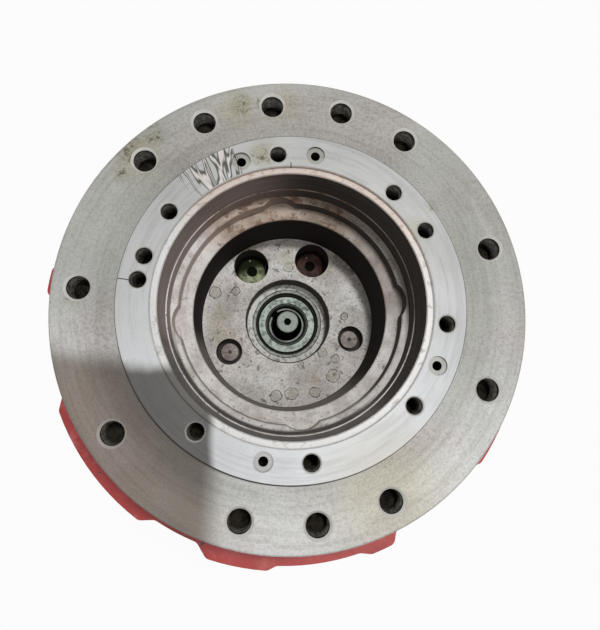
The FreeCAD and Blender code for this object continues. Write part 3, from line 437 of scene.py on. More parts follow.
def smears(g, colour, radius, angle):
    """Old sealant smeared across the pilot ring beside a port: long dark loops, paler inside."""
    leaning = g.plus(g.times(angle, 0.36), g.times(radius, 24.0))
    place = g.join(leaning, g.times(radius, 30.0))
    loops = g.noise(1.0, 0.7, 0.4, vector=place, bend=0.35)
    thin = g.most(g.band(loops, 0.42, 0.48, 0.025), g.band(loops, 0.54, 0.60, 0.025))
    filled = g.band(loops, 0.47, 0.55, 0.020)
    sway = g.times(g.noise(60, 2.0), 5.0)
    on_ring = g.band(radius, MOUTH_RADIUS + 1.2 * MM, PILOT_RADIUS - 0.5 * MM, 0.3 * MM)
    area = g.times(g.band(g.plus(angle, sway), *SMEAR_ANGLES, 1.0), on_ring)
    colour = g.mix(g.times(filled, area, 0.5), colour, srgb(222, 212, 206))
    return g.shade(g.times(thin, area), colour, srgb(106, 104, 92))


def ring_stains(g, colour):
    """A few dark specks, and olive oil stains round some holes."""
    speck = g.step(g.noise(260, 3.0, 0.6), 0.715, 0.745)
    colour = g.shade(g.times(speck, 0.6), colour, srgb(110, 102, 92))
    drops = g.step(g.noise(210, 5.0, 0.75, bend=0.8), 0.52, 0.60)
    for across, along, size in OIL_STAINS:
        stain = spot(g, across, along, size, size * 0.8)
        colour = g.shade(g.times(stain, drops), colour, srgb(150, 144, 116))
        colour = g.shade(g.times(stain, 0.5), colour, srgb(214, 210, 192))
    for across, along, size in YELLOW_STAINS:
        stain = spot(g, across, along, size, size * 0.9)
        colour = g.shade(g.times(stain, 0.8), colour, srgb(240, 234, 214))
    return colour


def scribed_lines(g, colour, radius, angle):
    """One scribed line from the pilot's edge to a hole, and one at the mouth of the bore."""
    for middle, low, high in SCRIBED:
        across = g.math("ABSOLUTE", g.times(g.minus(angle, middle), math.pi / 180))
        near = g.step(g.times(across, radius), 0.6 * MM, 0.3 * MM)
        line = g.times(near, g.band(radius, low * MM, high * MM, 0.2 * MM))
        colour = g.shade(line, colour, srgb(96, 90, 84))
    return colour


# The spindle's surfaces


def ring_faces(g, radius, angle, on_pilot, sunk):
    """The frame flange, the raised pilot ring and the narrow rim at the mouth of the bore."""
    # Painted shade over the lower left of both rings, with less mottling under it
    painted_shade = painted_shade_share(g, on_pilot)
    unshaded = g.minus(1.0, g.times(painted_shade, 0.7))
    grain = g.noise(850, 3.0, 0.7)
    cloud = g.noise(9, 5.0, 0.6)
    flange = g.mix(g.step(cloud, 0.36, 0.64), srgb(*FLANGE_DARK), srgb(*FLANGE_LIGHT))
    mauve = g.step(g.noise(11, 3.0, 0.5), 0.44, 0.62)
    flange = g.shade(mauve, flange, srgb(255, 249, 251))
    flange = g.shade(g.step(grain, 0.47, 0.66), flange, srgb(232, 231, 228))
    coarse = g.step(g.noise(330, 4.0, 0.75), 0.47, 0.60)
    flange = g.shade(g.times(coarse, unshaded, g.blend(mauve, 0.45, 0.8)), flange, srgb(223, 221, 218))
    flange = g.shade(g.step(radius, *FLANGE_FADE), flange, srgb(230, 230, 228))
    pilot = g.mix(g.step(cloud, 0.36, 0.64), srgb(*PILOT_DARK), srgb(*PILOT_LIGHT))
    pilot = g.shade(g.step(grain, 0.5, 0.7), pilot, srgb(242, 242, 241))
    colour = g.mix(on_pilot, flange, pilot)
    turned = g.noise(1.0, 3.0, 0.6, vector=g.round_place(radius, angle, 300.0, 2.5))
    colour = g.shade(g.step(turned, 0.44, 0.66), colour, srgb(240, 240, 239))

    # Painted shade: both rings are a little darker towards the upper right
    dull = g.plus(g.times(g.across, RING_SHADE_LEAN[0]), g.times(g.along, RING_SHADE_LEAN[1]), g.times(cloud, 50.0 * MM))
    colour = g.shade(g.step(dull, *RING_SHADE_FADE), colour, srgb(209, 209, 205))
    colour = ring_stains(g, colour)

    # The mouth's rim, as pale as the pilot below and beige above, with short scrapes
    rim = g.mix(g.arc(angle, *RIM_TOP), srgb(208, 207, 205), srgb(190, 177, 168))
    rim = g.shade(g.step(g.noise(150, 5.0, 0.7, bend=1.0), 0.54, 0.66), rim, srgb(214, 208, 202))
    at_mouth = g.step(radius, MOUTH_RADIUS + 0.8 * MM, MOUTH_RADIUS + 0.1 * MM)
    colour = g.mix(at_mouth, colour, rim)
    colour = g.mix(sunk, colour, srgb(218, 216, 210))

    # The painted shade: lighter on the chamfers, darkest on and near the pilot, and paler further out
    painted_shade = g.times(painted_shade, g.blend(sunk, 1.0, 0.55))
    brown = g.mix(g.step(radius, *SHADE_FADE), srgb(*SHADE_NEAR_PILOT), srgb(*SHADE_OUTSIDE))
    brown = g.mix(on_pilot, brown, srgb(*SHADE_ON_PILOT))
    return g.shade(painted_shade, colour, brown)


def ledge_tone(g, radius, angle):
    """The scraped ledges down the bore: pale, brownish at the top, with blots and dark specks."""
    blotch = g.noise(48, 5.0, 0.6)
    pale = g.mix(g.step(blotch, 0.36, 0.66), srgb(244, 240, 236), srgb(206, 198, 191))
    top = g.arc(angle, *LEDGE_TOP)
    pale = g.shade(g.times(top, g.blend(g.noise(60), 0.6, 1.0)), pale, srgb(206, 186, 166))
    rust = g.times(top, g.step(g.noise(70, 5.0, 0.7), 0.50, 0.60))
    pale = g.shade(g.times(rust, 0.8), pale, srgb(170, 134, 108))
    blots = g.step(g.noise(120, 4.0, 0.62), 0.63, 0.68)
    pale = g.shade(g.times(blots, g.blend(top, 0.45, 0.9)), pale, srgb(120, 98, 84))
    # Painted shade of the bore's wall on the ledges at the upper right
    pale = g.shade(g.times(g.arc(angle, *LEDGE_SHADE), 0.8), pale, srgb(176, 166, 156))
    fine = g.step(g.noise(480, 3.0, 0.7), 0.56, 0.68)
    pale = g.shade(g.times(fine, 0.5), pale, srgb(190, 180, 172))
    turned = g.noise(1.0, 3.0, 0.6, vector=g.round_place(radius, angle, 1500.0, 5.0))
    broken = g.step(g.noise(34, 4.0, 0.6), 0.44, 0.58)
    lines = g.times(g.step(turned, 0.56, 0.64), broken)
    pale = g.shade(g.times(lines, g.blend(top, 0.55, 0.85)), pale, srgb(134, 112, 98))
    nicks = g.step(g.noise(300, 2.0, 0.5, bend=2.0), 0.66, 0.69)
    return g.shade(g.times(nicks, 0.8), pale, srgb(112, 98, 88))


def web_tone(g):
    """The web at the bottom of the bore: mottled, with imprints of the swash plate's parts."""
    blotch = g.noise(30, 5.0, 0.6)
    web = g.mix(g.step(blotch, 0.36, 0.66), srgb(*WEB_LIGHT), srgb(*WEB_DARK))
    pink = g.step(g.noise(14, 2.0, 0.5), 0.48, 0.60)
    web = g.shade(g.times(pink, 0.5), web, srgb(254, 244, 245))
    olive = g.step(g.noise(19, 3.0, 0.5, bend=0.5), 0.55, 0.66)
    web = g.shade(g.times(olive, 0.6), web, srgb(232, 228, 208))
    crust = g.step(g.noise(420, 4.0, 0.72), 0.50, 0.62)
    web = g.shade(g.times(crust, 0.6), web, srgb(176, 170, 162))
    coarse = g.step(g.noise(200, 5.0, 0.75), 0.52, 0.62)
    web = g.shade(g.times(coarse, 0.35), web, srgb(192, 188, 182))
    blots = g.step(g.noise(130, 4.0, 0.6), 0.60, 0.66)
    web = g.shade(g.times(blots, 0.75), web, srgb(132, 122, 114))
    grime = g.step(g.noise(26, 5.0, 0.7), 0.54, 0.66)
    upper_right = g.times(g.step(g.across, -20.0 * MM, 30.0 * MM), g.step(g.along, -10.0 * MM, 40.0 * MM))
    web = g.shade(g.times(grime, g.blend(upper_right, 0.35, 0.9)), web, srgb(180, 174, 160))
    ragged = g.minus(g.noise(85, 4.0, 0.6), 0.5)
    patchy = g.blend(g.step(g.noise(110, 3.0), 0.36, 0.50), 0.45, 1.0)
    for across, along, size in IMPRINTS:
        line = g.times(imprint(g, across, along, size, ragged), patchy)
        web = g.shade(line, web, srgb(84, 77, 70))
        web = g.shade(g.times(spot(g, across, along, size, 1.5), 0.6), web, srgb(206, 205, 190))
    return web


def deep_tone(g, colour, radius, depth, flat):
    """The shaft's stepped seat in the web, and the pockets round it, dark with oil and painted shade."""
    below = (WEB_DEPTH + 1.2 * MM, WEB_DEPTH + 2.2 * MM)
    # Painted shade over oil: dark brown below the web's face, black on the seal's wall, and dark lines at the
    # shelf's step and at the seat's lip
    colour = g.mix(g.step(depth, *below), colour, srgb(46, 38, 34))
    shelf = g.mix(g.step(g.noise(240, 4.0, 0.7), 0.50, 0.64), srgb(242, 242, 236), srgb(164, 160, 152))
    inner_shelf = g.step(radius, SHELF_STEP_RADIUS + 0.4 * MM, SHELF_STEP_RADIUS)
    shelf = g.shade(inner_shelf, shelf, srgb(206, 212, 206))
    ragged = g.plus(radius, g.times(g.minus(g.noise(190, 3.0), 0.5), 1.6 * MM))
    edge = g.band(ragged, SHELF_STEP_RADIUS, SHELF_STEP_RADIUS + 0.8 * MM, 0.2 * MM)
    shelf = g.mix(edge, shelf, srgb(48, 50, 44))
    in_seat = g.step(radius, SEAT_RADIUS + 0.8 * MM, SEAT_RADIUS + 0.2 * MM)
    colour = g.mix(g.times(flat, g.band(depth, *SHELF_DEPTHS, 0.3 * MM), in_seat), colour, shelf)
    seal_wall = g.times(g.step(radius, SEAL_WALL_RADIUS + 0.3 * MM, SEAL_WALL_RADIUS),
                        g.step(depth, SEAL_WALL_DEPTH, SEAL_WALL_DEPTH + 0.3 * MM))
    colour = g.mix(seal_wall, colour, srgb(14, 20, 15))
    lip = g.times(g.band(ragged, SEAT_RADIUS - 0.6 * MM, SEAT_RADIUS + 1.0 * MM, 0.3 * MM),
                  g.step(depth, *reversed(below)))
    return g.mix(lip, colour, srgb(62, 52, 46))


def wall_tone(g, depth, lit, low_side, deep_wall):
    """The bore's oily walls: brown at the upper left, pale on the lower side and black elsewhere.

    That is partly oil and partly where the photo's light falls.
    """
    streak = g.step(g.noise(1.0, 4.0, 0.6, vector=g.streaks(14.0, 700.0)), 0.34, 0.68)
    brown = g.mix(streak, srgb(172, 152, 146), srgb(124, 104, 100))
    dark = g.mix(streak, srgb(76, 70, 64), srgb(44, 38, 34))
    oily = g.mix(lit, dark, brown)
    pale = g.mix(streak, srgb(168, 160, 152), srgb(136, 126, 118))
    below_ledge = g.step(depth, LEDGE_DEPTH - 2.0 * MM, LEDGE_DEPTH)
    oily = g.mix(g.times(low_side, below_ledge), oily, pale)
    # Painted light on the second ledge's wall at the upper left
    second = g.times(lit, g.band(depth, LEDGE_DEPTH + 1.0 * MM, SECOND_LEDGE_DEPTH - 1.0 * MM, 1.0 * MM))
    oily = g.mix(g.times(second, 0.7), oily, srgb(206, 186, 170))
    # Painted shade at the foot of the deep wall on the lower side
    foot = g.step(depth, WEB_DEPTH - 12.0 * MM, WEB_DEPTH - 6.0 * MM)
    low_wall = g.mix(foot, pale, srgb(66, 58, 52))
    return g.mix(deep_wall, oily, g.mix(low_side, srgb(32, 26, 23), low_wall))


def hole_walls(g, colour, radius, depth, upright, flat, at_chamfers, hole):
    """Dark oil and painted shade on the threads inside the tapped holes and the ports, with painted glints,
    and painted shade on the ports' walls and floors.
    """
    port_wall = g.times(g.band(radius, *PORT_WALLS, 0.2 * MM), g.band(depth, *PORT_WALL_DEPTHS, 0.3 * MM))
    colour = g.mix(g.times(port_wall, upright, 0.85), colour, srgb(84, 80, 74))
    port_floor = g.times(at_chamfers, g.band(depth, *PORT_FLOOR_DEPTHS, 0.1 * MM))
    colour = g.shade(g.times(port_floor, flat), colour, srgb(226, 224, 218))
    shade_and_glints = g.mix(g.step(g.noise(150, 3.0), 0.42, 0.62), srgb(52, 47, 38), srgb(22, 19, 16))
    return g.mix(hole, colour, shade_and_glints)


# Materials


def spindle_iron():
    """Machined iron: turned outside faces, scraped ledges, oily bore walls and a stained web."""
    g = Graph("spindle_iron")
    radius = g.radius()
    angle = g.angle()
    depth = g.depth()
    level = g.level()
    flat = g.step(level, 0.5, 0.8)
    upright = g.minus(1.0, flat)
    on_pilot = g.step(radius, PILOT_RADIUS + 0.2 * MM, PILOT_RADIUS - 0.1 * MM)
    at_chamfers = g.most(g.band(radius, *FRAME_CHAMFERS, 0.5 * MM), g.band(radius, *COVER_CHAMFERS, 0.3 * MM))
    sloping = g.band(level, 0.5, 0.85, 0.05)
    sunk = g.times(sloping, g.step(depth, CHAMFER_END + 1.0 * MM, CHAMFER_END), at_chamfers)
    colour = ring_faces(g, radius, angle, on_pilot, sunk)
    colour = smears(g, colour, radius, angle)

    # Painted shade: a thin dark line at the pilot ring's outer chamfer and at its foot
    edge = g.most(g.band(depth, 0.3 * MM, 0.9 * MM, 0.2 * MM),
                  g.step(depth, FLANGE_DEPTH - 1.0 * MM, FLANGE_DEPTH - 0.5 * MM))
    foot_shade = g.times(g.band(radius, PILOT_RADIUS - 0.6 * MM, PILOT_RADIUS + 1.9 * MM, 0.2 * MM), edge)
    colour = g.mix(foot_shade, colour, srgb(44, 42, 40))
    colour = scribed_lines(g, colour, radius, angle)

    # The ledges and the web
    inside = g.step(radius, BORE_RADIUS + 1.2 * MM, BORE_RADIUS + 0.4 * MM)
    on_ledges = g.times(inside, g.step(depth, 6.0 * MM, 10.0 * MM))
    colour = g.mix(on_ledges, colour, ledge_tone(g, radius, angle))
    on_web = g.times(inside, g.step(depth, WEB_DEPTH - 6.0 * MM, WEB_DEPTH - 2.0 * MM))
    colour = g.mix(on_web, colour, web_tone(g))
    in_bore = g.step(radius, WEB_REACH + 1.0 * MM, WEB_REACH)
    colour = g.mix(g.times(in_bore, on_web), colour, deep_tone(g, colour, radius, depth, flat))

    # The walls
    wall = g.times(inside, upright, g.step(depth, 3.5 * MM, 4.5 * MM),
                   g.step(depth, WEB_DEPTH + 0.5 * MM, WEB_DEPTH - 0.5 * MM))
    lit = g.most(g.step(angle, *LIT_START), g.step(angle, *LIT_END))
    low_side = g.arc(angle, *LOW_SIDE)
    deep_wall = g.step(depth, SECOND_LEDGE_DEPTH + 0.5 * MM, SECOND_LEDGE_DEPTH + 5.0 * MM)
    colour = g.mix(wall, colour, wall_tone(g, depth, lit, low_side, deep_wall))

    # Painted shade in the first ledge's corner, on the lower side
    at_ledge = g.band(depth, LEDGE_DEPTH - 5.0 * MM, LEDGE_DEPTH + 5.0 * MM, 1.0 * MM)
    corner = g.times(g.step(radius, *CORNER_SHADE_FADE), at_ledge, inside, low_side)
    colour = g.mix(corner, colour, srgb(72, 65, 60))

    # The tapped holes and the ports
    frame_hole = g.times(g.band(radius, *FRAME_WALLS, 0.5 * MM), g.band(depth, *FRAME_WALL_DEPTHS, 0.3 * MM))
    cover_hole = g.times(g.band(radius, *COVER_WALLS, 0.3 * MM), g.band(depth, *COVER_WALL_DEPTHS, 0.3 * MM))
    hole = g.most(frame_hole, cover_hole)
    colour = hole_walls(g, colour, radius, depth, upright, flat, at_chamfers, hole)

    # Fine turned rings and grain, over a few scars
    marks = g.plus(g.times(g.lines(g.times(radius, IRON_RINGS)), 0.55), g.times(g.noise(900, 2.0, 0.7), 0.45))
    fine = g.bump(marks, 0.04 * MM, 0.5)
    scars = g.bump(g.noise(130, 4.0, 0.6), 0.3 * MM, 0.35, under=fine)

    # Rough and without shine where the photo is black, as a shiny wall would mirror the pale room
    rough = g.blend(inside, g.blend(on_pilot, 0.56, 0.50), 0.66)
    rough = g.plus(rough, g.times(g.minus(g.noise(26, 4.0), 0.5), 0.2))
    rough = g.blend(wall, rough, 0.45)
    in_seal_seat = g.times(inside, g.step(depth, SEAL_WALL_DEPTH, SEAL_WALL_DEPTH + 0.6 * MM))
    unlit = g.minus(0.75, g.most(lit, low_side), clamp=True)
    black = g.most(hole, in_seal_seat, g.times(wall, deep_wall), g.times(wall, unlit))
    rough = g.blend(black, rough, 0.9)
    metal = g.blend(hole, g.blend(inside, 0.30, 0.0), 0.0)
    return g.finish(colour, rough, metal, scars, gloss=g.blend(black, PLAIN_GLOSS, OILY_IRON_GLOSS))


def red_enamel():
    """Red enamel outside, dusty and pale on the edges, and bare iron inside the hub."""
    g = Graph("red_enamel")
    radius = g.radius()
    depth = g.depth()
    cloud = g.noise(16, 5.0, 0.6)
    colour = g.mix(g.step(cloud, 0.35, 0.65), srgb(196, 72, 69), srgb(172, 54, 53))
    # Painted shade: the enamel gets darker towards the left
    shaded = g.step(g.plus(g.across, g.times(cloud, 60.0 * MM)), *ENAMEL_SHADE_FADE)
    colour = g.shade(g.times(shaded, 0.5), colour, srgb(200, 180, 184))
    dust = g.step(g.noise(34, 6.0, 0.7), 0.48, 0.70)
    colour = g.mix(g.times(dust, 0.6), colour, srgb(222, 132, 124))
    stain = g.step(g.noise(11, 5.0, 0.65), 0.58, 0.70)
    colour = g.shade(g.times(stain, 0.5), colour, srgb(170, 150, 146))
    chips = g.step(g.noise(90, 4.0, 0.6), 0.69, 0.71)
    colour = g.mix(chips, colour, srgb(84, 56, 52))
    bare = g.times(g.step(radius, HUB_INSIDE_RADIUS + 0.8 * MM, HUB_INSIDE_RADIUS),
                   g.step(depth, HUB_INSIDE_END + 0.5 * MM, HUB_INSIDE_END))
    iron = g.mix(cloud, srgb(150, 148, 144), srgb(112, 108, 104))
    colour = g.mix(bare, colour, iron)
    rough = g.blend(bare, g.blend(dust, 0.36, 0.62), 0.5)
    height = g.minus(g.times(g.noise(350, 2.0), 0.3), chips)
    return g.finish(colour, rough, g.times(bare, 0.5), g.bump(height, 0.15 * MM, 0.6))


def shaft_end_steel():
    """Oily steel of the seal case, the split ring and the shaft's pale end, with painted shade on the rims,
    the upright walls and in the deep holes.
    """
    g = Graph("shaft_end_steel")
    radius = g.radius()
    depth = g.depth()
    upright = g.step(g.level(), 0.6, 0.4)
    mottle = g.step(g.noise(230, 5.0, 0.68), 0.44, 0.66)
    grime = g.step(g.noise(45, 3.0, 0.6), 0.46, 0.62)
    case = g.mix(mottle, srgb(156, 166, 158), srgb(112, 121, 113))
    case = g.shade(grime, case, srgb(176, 182, 174))
    # Painted shade over oil: black at the case's outer rim and at the edge of its bore
    rim = g.most(g.step(radius, CASE_RIM_RADIUS, CASE_RIM_RADIUS + 0.5 * MM),
                 g.step(radius, CASE_BORE_RADIUS + 0.4 * MM, CASE_BORE_RADIUS))
    case = g.mix(rim, case, srgb(14, 18, 14))
    pale = g.mix(g.step(g.noise(260, 4.0), 0.45, 0.7), srgb(190, 198, 189), srgb(152, 160, 152))
    colour = g.mix(g.step(radius, SPLIT_RING_RADIUS + 0.3 * MM, SPLIT_RING_RADIUS), case, pale)
    gap = g.most(*(g.band(radius, low, high, 0.2 * MM) for low, high in RING_GAPS))
    colour = g.mix(gap, colour, srgb(24, 30, 24))
    # Painted shade: the upright walls are dark
    colour = g.mix(upright, colour, srgb(26, 32, 26))
    # Painted shade: black in the centre hole and down the shaft's side
    centre = g.times(g.step(radius, CENTRE_HOLE_RADIUS + 0.4 * MM, CENTRE_HOLE_RADIUS),
                     g.step(depth, SHAFT_END_DEPTH, SHAFT_END_DEPTH + 0.7 * MM))
    deep = g.times(g.step(depth, *SHAFT_SIDE_DEPTHS), g.step(radius, SHAFT_RADIUS + 0.2 * MM, SHAFT_RADIUS))
    colour = g.mix(g.most(centre, deep), colour, srgb(10, 13, 10))
    black = g.most(rim, upright, gap, deep)
    rough = g.blend(black, g.blend(mottle, 0.44, 0.58), 0.92)
    fine = g.bump(g.lines(g.times(radius, STEEL_RINGS)), 0.03 * MM, 0.4)
    gloss = g.blend(black, PLAIN_GLOSS, OILY_STEEL_GLOSS)
    return g.finish(colour, rough, g.blend(black, 0.2, 0.0), fine, gloss=gloss)


def motor_steel():
    """The control pistons, one olive and one rust brown, each with a painted shadow over its upper part and a
    painted glint, and the paler swash pivots.
    """
    g = Graph("motor_steel")
    above = g.step(g.along, *MIDDLE_FADE)
    stain = g.noise(160, 5.0, 0.65)
    # Painted shadow: the pistons are lit on their lower side and dark above
    low_side = g.step(g.plus(g.along, g.times(g.across, PISTON_SHADE_LEAN)), *PISTON_SHADE_FADE)
    olive = g.mix(g.step(stain, 0.40, 0.62), srgb(190, 200, 158), srgb(104, 114, 72))
    olive = g.mix(low_side, srgb(36, 40, 22), olive)
    rust = g.mix(g.step(stain, 0.40, 0.66), srgb(74, 36, 22), srgb(28, 14, 9))
    rust = g.mix(low_side, srgb(20, 10, 9), rust)
    piston = g.mix(g.step(g.across, *MIDDLE_FADE), olive, rust)

    # The pivots, with a painted sheen in sectors round their centre holes, as a turned face shows
    beside = g.minus(g.math("ABSOLUTE", g.across), PIVOT_ACROSS)
    below = g.minus(g.along, PIVOT_ALONG)
    sector_sheen = g.lines(g.times(g.math("ABSOLUTE", g.math("ARCTAN2", below, beside)), 1.6))
    pivot = g.mix(g.step(stain, 0.35, 0.66), srgb(198, 188, 180), srgb(156, 144, 136))
    pivot = g.shade(g.step(sector_sheen, 0.40, 0.56), pivot, srgb(190, 182, 176))
    # Painted shade in the pivots' centre holes
    pivot = g.mix(g.step(g.distance(beside, below), 2.6 * MM, 1.8 * MM), pivot, srgb(60, 50, 44))
    on_pivots = g.step(g.along, *reversed(MIDDLE_FADE))
    colour = g.mix(on_pivots, piston, pivot)

    # Painted shade: the pistons' dimples are near black
    dimple = g.times(above, g.step(g.depth(), PISTON_DEPTH + 1.0 * MM, PISTON_DEPTH + 3.0 * MM))
    colour = g.mix(dimple, colour, srgb(14, 15, 9))
    # Painted highlights: a glint of oil on each piston
    for across, along in OIL_GLINTS:
        colour = g.mix(spot(g, across, along, GLINT_SIZE, GLINT_SOFT), colour, srgb(236, 238, 232))
    dull = g.most(dimple, g.minus(1.0, low_side))
    rough = g.blend(dull, g.blend(stain, 0.55, 0.85), 0.95)
    rough = g.blend(on_pivots, rough, 0.5)
    gloss = g.blend(g.times(dull, above), PLAIN_GLOSS, OILY_IRON_GLOSS)
    return g.finish(colour, rough, 0.0, g.bump(g.noise(600, 2.0), 0.04 * MM, 0.5), gloss=gloss)


def worn_steel(name, light, dark, rough):
    """Steel with cloudy stains and fine scratches, dull and black with oil near the turning axis."""
    g = Graph(name)
    colour = g.mix(g.step(g.noise(60, 5.0, 0.6), 0.35, 0.7), srgb(*light), srgb(*dark))
    oily = g.step(g.radius(), OILY_RADIUS + 1.0 * MM, OILY_RADIUS)
    colour = g.mix(oily, colour, srgb(22, 25, 20))
    shine = g.plus(rough, g.times(g.minus(g.noise(180, 3.0), 0.5), 0.3))
    shine = g.blend(oily, shine, 0.95)
    scratches = g.bump(g.noise(700, 2.0, 0.6), 0.03 * MM, 0.5)
    gloss = g.blend(oily, PLAIN_GLOSS, OILY_STEEL_GLOSS)
    return g.finish(colour, shine, g.blend(oily, 0.9, 0.0), scratches, gloss=gloss)


def black_rubber():
    g = Graph("black_rubber")
    colour = g.mix(g.noise(120, 4.0), srgb(30, 30, 28), srgb(58, 56, 50))
    fine = g.bump(g.noise(900, 2.0), 0.05 * MM, 0.4)
    return g.finish(colour, g.blend(g.noise(60), 0.6, 0.85), 0.0, fine, gloss=RUBBER_GLOSS)


def thread_steel():
    """Oily thread crests that catch the light."""
    g = Graph("thread_steel")
    colour = g.mix(g.step(g.noise(300, 4.0), 0.4, 0.65), srgb(74, 70, 62), srgb(26, 23, 20))
    fine = g.bump(g.noise(900, 2.0), 0.03 * MM, 0.4)
    return g.finish(colour, g.blend(g.noise(200), 0.22, 0.4), 0.5, fine)


def dress_nodes():
    """Gives every CAD node its finish, by the record's slot."""
    finishes = {
        "machined_iron": spindle_iron(),
        "red_paint": red_enamel(),
        "bearing_steel": worn_steel("bearing_steel", (190, 190, 190), (150, 148, 144), 0.22),
        "cage_steel": worn_steel("cage_steel", (170, 160, 130), (130, 118, 90), 0.35),
        "gear_steel": worn_steel("gear_steel", (150, 150, 152), (104, 102, 100), 0.3),
        "carrier_iron": worn_steel("carrier_iron", (130, 130, 130), (92, 90, 88), 0.45),
        "bush_bronze": worn_steel("bush_bronze", (190, 150, 90), (140, 104, 60), 0.3),
        "seal_rubber": black_rubber(),
        "seal_metal": worn_steel("seal_metal", (165, 166, 168), (120, 120, 118), 0.25),
        "black_bolt": worn_steel("black_bolt", (60, 60, 62), (34, 33, 32), 0.4),
        "shaft_steel": shaft_end_steel(),
        "piston_steel": motor_steel(),
        "plug_steel": worn_steel("plug_steel", (184, 176, 150), (136, 126, 100), 0.4),
    }
    slots = {entry["node"]: entry["material_slot"] for entry in frame["record"]["subparts"]}
    for name, node in frame["nodes"].items():
        node.data.materials.clear()
        node.data.materials.append(finishes[slots[name]])


# Threads


def helix(bm, centre, radius, pitch, top, bottom):
    """One thread ridge that winds down the wall of a tapped hole, with its crest towards the middle."""
    tall = pitch * RIDGE_HEIGHT
    count = int((top - bottom) / pitch * RIDGE_STEPS)
    rows = []
    for index in range(count + 1):
        turn = 2 * math.pi * index / RIDGE_STEPS
        height = top - pitch * index / RIDGE_STEPS
        fade = min(1.0, index / RIDGE_STEPS, (count - index) / RIDGE_STEPS)
        wide = pitch * RIDGE_HALF_WIDTH * max(fade, RIDGE_LEAST)
        root = radius + RIDGE_ROOT
        row = []
        for away, lift in ((root, wide), (radius - tall * fade, 0.0), (root, -wide)):
            point = (centre[0] + away * math.cos(turn), centre[1] + away * math.sin(turn), height + lift)
            row.append(bm.verts.new(point))
        rows.append(row)
    for first, second in zip(rows, rows[1:]):
        for corner in (0, 1):
            bm.faces.new((first[corner], first[corner + 1], second[corner + 1], second[corner]))


def hole_threads(name, circle, angles, radius, pitch, depths, finish):
    """The thread ridges of one ring of tapped holes, as one piece."""
    top, bottom = depths
    bm = bmesh.new()
    for angle in angles:
        turn = math.radians(angle)
        centre = (circle * math.cos(turn), circle * math.sin(turn))
        helix(bm, centre, radius, pitch, TOP - top, TOP - bottom)
    mesh = bpy.data.meshes.new(name)
    bm.to_mesh(mesh)
    bm.free()
    piece = bpy.data.objects.new(name, mesh)
    bpy.context.scene.collection.objects.link(piece)
    mesh.materials.append(finish)
    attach(piece, "spindle")


# Floor, light and camera


def floor():
    """A plain pale floor that the camera and mirrors see almost white, and that keeps its shadow."""
    mesh = bpy.data.meshes.new("floor")
    ends = (-FLOOR_HALF, FLOOR_HALF)
    corners = [(ends[0], ends[0]), (ends[1], ends[0]), (ends[1], ends[1]), (ends[0], ends[1])]
    mesh.from_pydata([(*corner, FLOOR_LEVEL) for corner in corners], [], [(0, 1, 2, 3)])
    plane = bpy.data.objects.new("floor", mesh)
    bpy.context.scene.collection.objects.link(plane)
    g = Graph("floor_white")
    diffuse = g.node("ShaderNodeBsdfDiffuse")
    diffuse.inputs["Color"].default_value = FLOOR_GREY
    glow = g.node("ShaderNodeEmission")
    glow.inputs["Color"].default_value = WHITE
    glow.inputs["Strength"].default_value = 1.0
    path = g.node("ShaderNodeLightPath")
    seen = g.most(path.outputs["Is Camera Ray"], path.outputs["Is Glossy Ray"])
    surface = g.node("ShaderNodeMixShader")
    g.feed(surface.inputs[0], g.times(seen, FLOOR_WHITE_SHARE))
    g.feed(surface.inputs[1], diffuse.outputs[0])
    g.feed(surface.inputs[2], glow.outputs[0])
    mesh.materials.append(g.close(surface.outputs[0]))


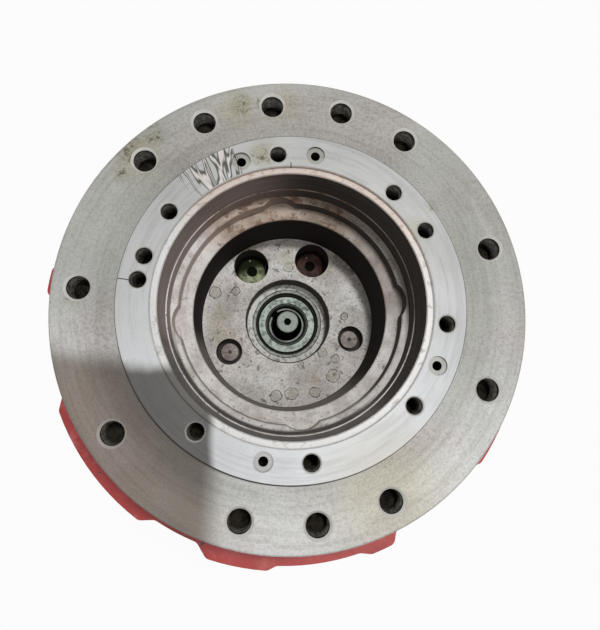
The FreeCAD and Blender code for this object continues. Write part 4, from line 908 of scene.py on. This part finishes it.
def world():
    """Soft light from all round, which the camera and mirrors see as white."""
    made = bpy.data.worlds.new("studio")
    bpy.context.scene.world = made
    made.use_nodes = True
    tree = made.node_tree
    tree.nodes.clear()
    path = tree.nodes.new("ShaderNodeLightPath")
    soft = tree.nodes.new("ShaderNodeBackground")
    soft.inputs["Color"].default_value = SKY
    soft.inputs["Strength"].default_value = SKY_STRENGTH
    white = tree.nodes.new("ShaderNodeBackground")
    white.inputs["Color"].default_value = WHITE
    white.inputs["Strength"].default_value = 1.0
    seen = tree.nodes.new("ShaderNodeMath")
    seen.operation = "MAXIMUM"
    surface = tree.nodes.new("ShaderNodeMixShader")
    out = tree.nodes.new("ShaderNodeOutputWorld")
    tree.links.new(path.outputs["Is Camera Ray"], seen.inputs[0])
    tree.links.new(path.outputs["Is Glossy Ray"], seen.inputs[1])
    tree.links.new(seen.outputs[0], surface.inputs[0])
    tree.links.new(soft.outputs[0], surface.inputs[1])
    tree.links.new(white.outputs[0], surface.inputs[2])
    tree.links.new(surface.outputs[0], out.inputs["Surface"])


def lamp(name, place, size, power):
    """A square area lamp that looks at the middle of the pilot face."""
    light = bpy.data.lights.new(name, "AREA")
    light.size = size
    light.energy = power
    made = bpy.data.objects.new(name, light)
    made.location = place
    made.rotation_mode = "QUATERNION"
    made.rotation_quaternion = (Vector((0, 0, TOP)) - Vector(place)).to_track_quat("-Z", "Y")
    bpy.context.scene.collection.objects.link(made)


def camera():
    """The photo's view: close, almost straight down the bore, from a little left and below."""
    made = bpy.data.cameras.new("camera")
    made.sensor_width = SENSOR
    made.lens = FOCAL_PIXELS * SENSOR / PHOTO_HEIGHT
    made.shift_y = (AXIS_ROW - PHOTO_HEIGHT / 2) / PHOTO_HEIGHT
    made.clip_start = NEAREST
    made.dof.use_dof = False
    rig = bpy.data.objects.new("camera", made)
    back = CAMERA_RIGHT.cross(CAMERA_UP)
    turn = Matrix((CAMERA_RIGHT, CAMERA_UP, back)).transposed().to_4x4()
    rig.matrix_world = Matrix.Translation(CAMERA_PLACE) @ turn
    bpy.context.scene.collection.objects.link(rig)
    bpy.context.scene.camera = rig


dress_nodes()
thread_finish = thread_steel()
hole_threads("frame_hole_threads", FRAME_HOLE_CIRCLE, FRAME_HOLES, FRAME_HOLE_RADIUS, FRAME_PITCH,
             FRAME_THREAD, thread_finish)
hole_threads("cover_hole_threads", COVER_HOLE_CIRCLE, COVER_HOLES, COVER_HOLE_RADIUS, COVER_PITCH,
             COVER_THREAD, thread_finish)
floor()
world()
for lamp_name, settings in LAMPS.items():
    lamp(lamp_name, *settings)
camera()
bpy.context.scene.view_settings.view_transform = "Standard"
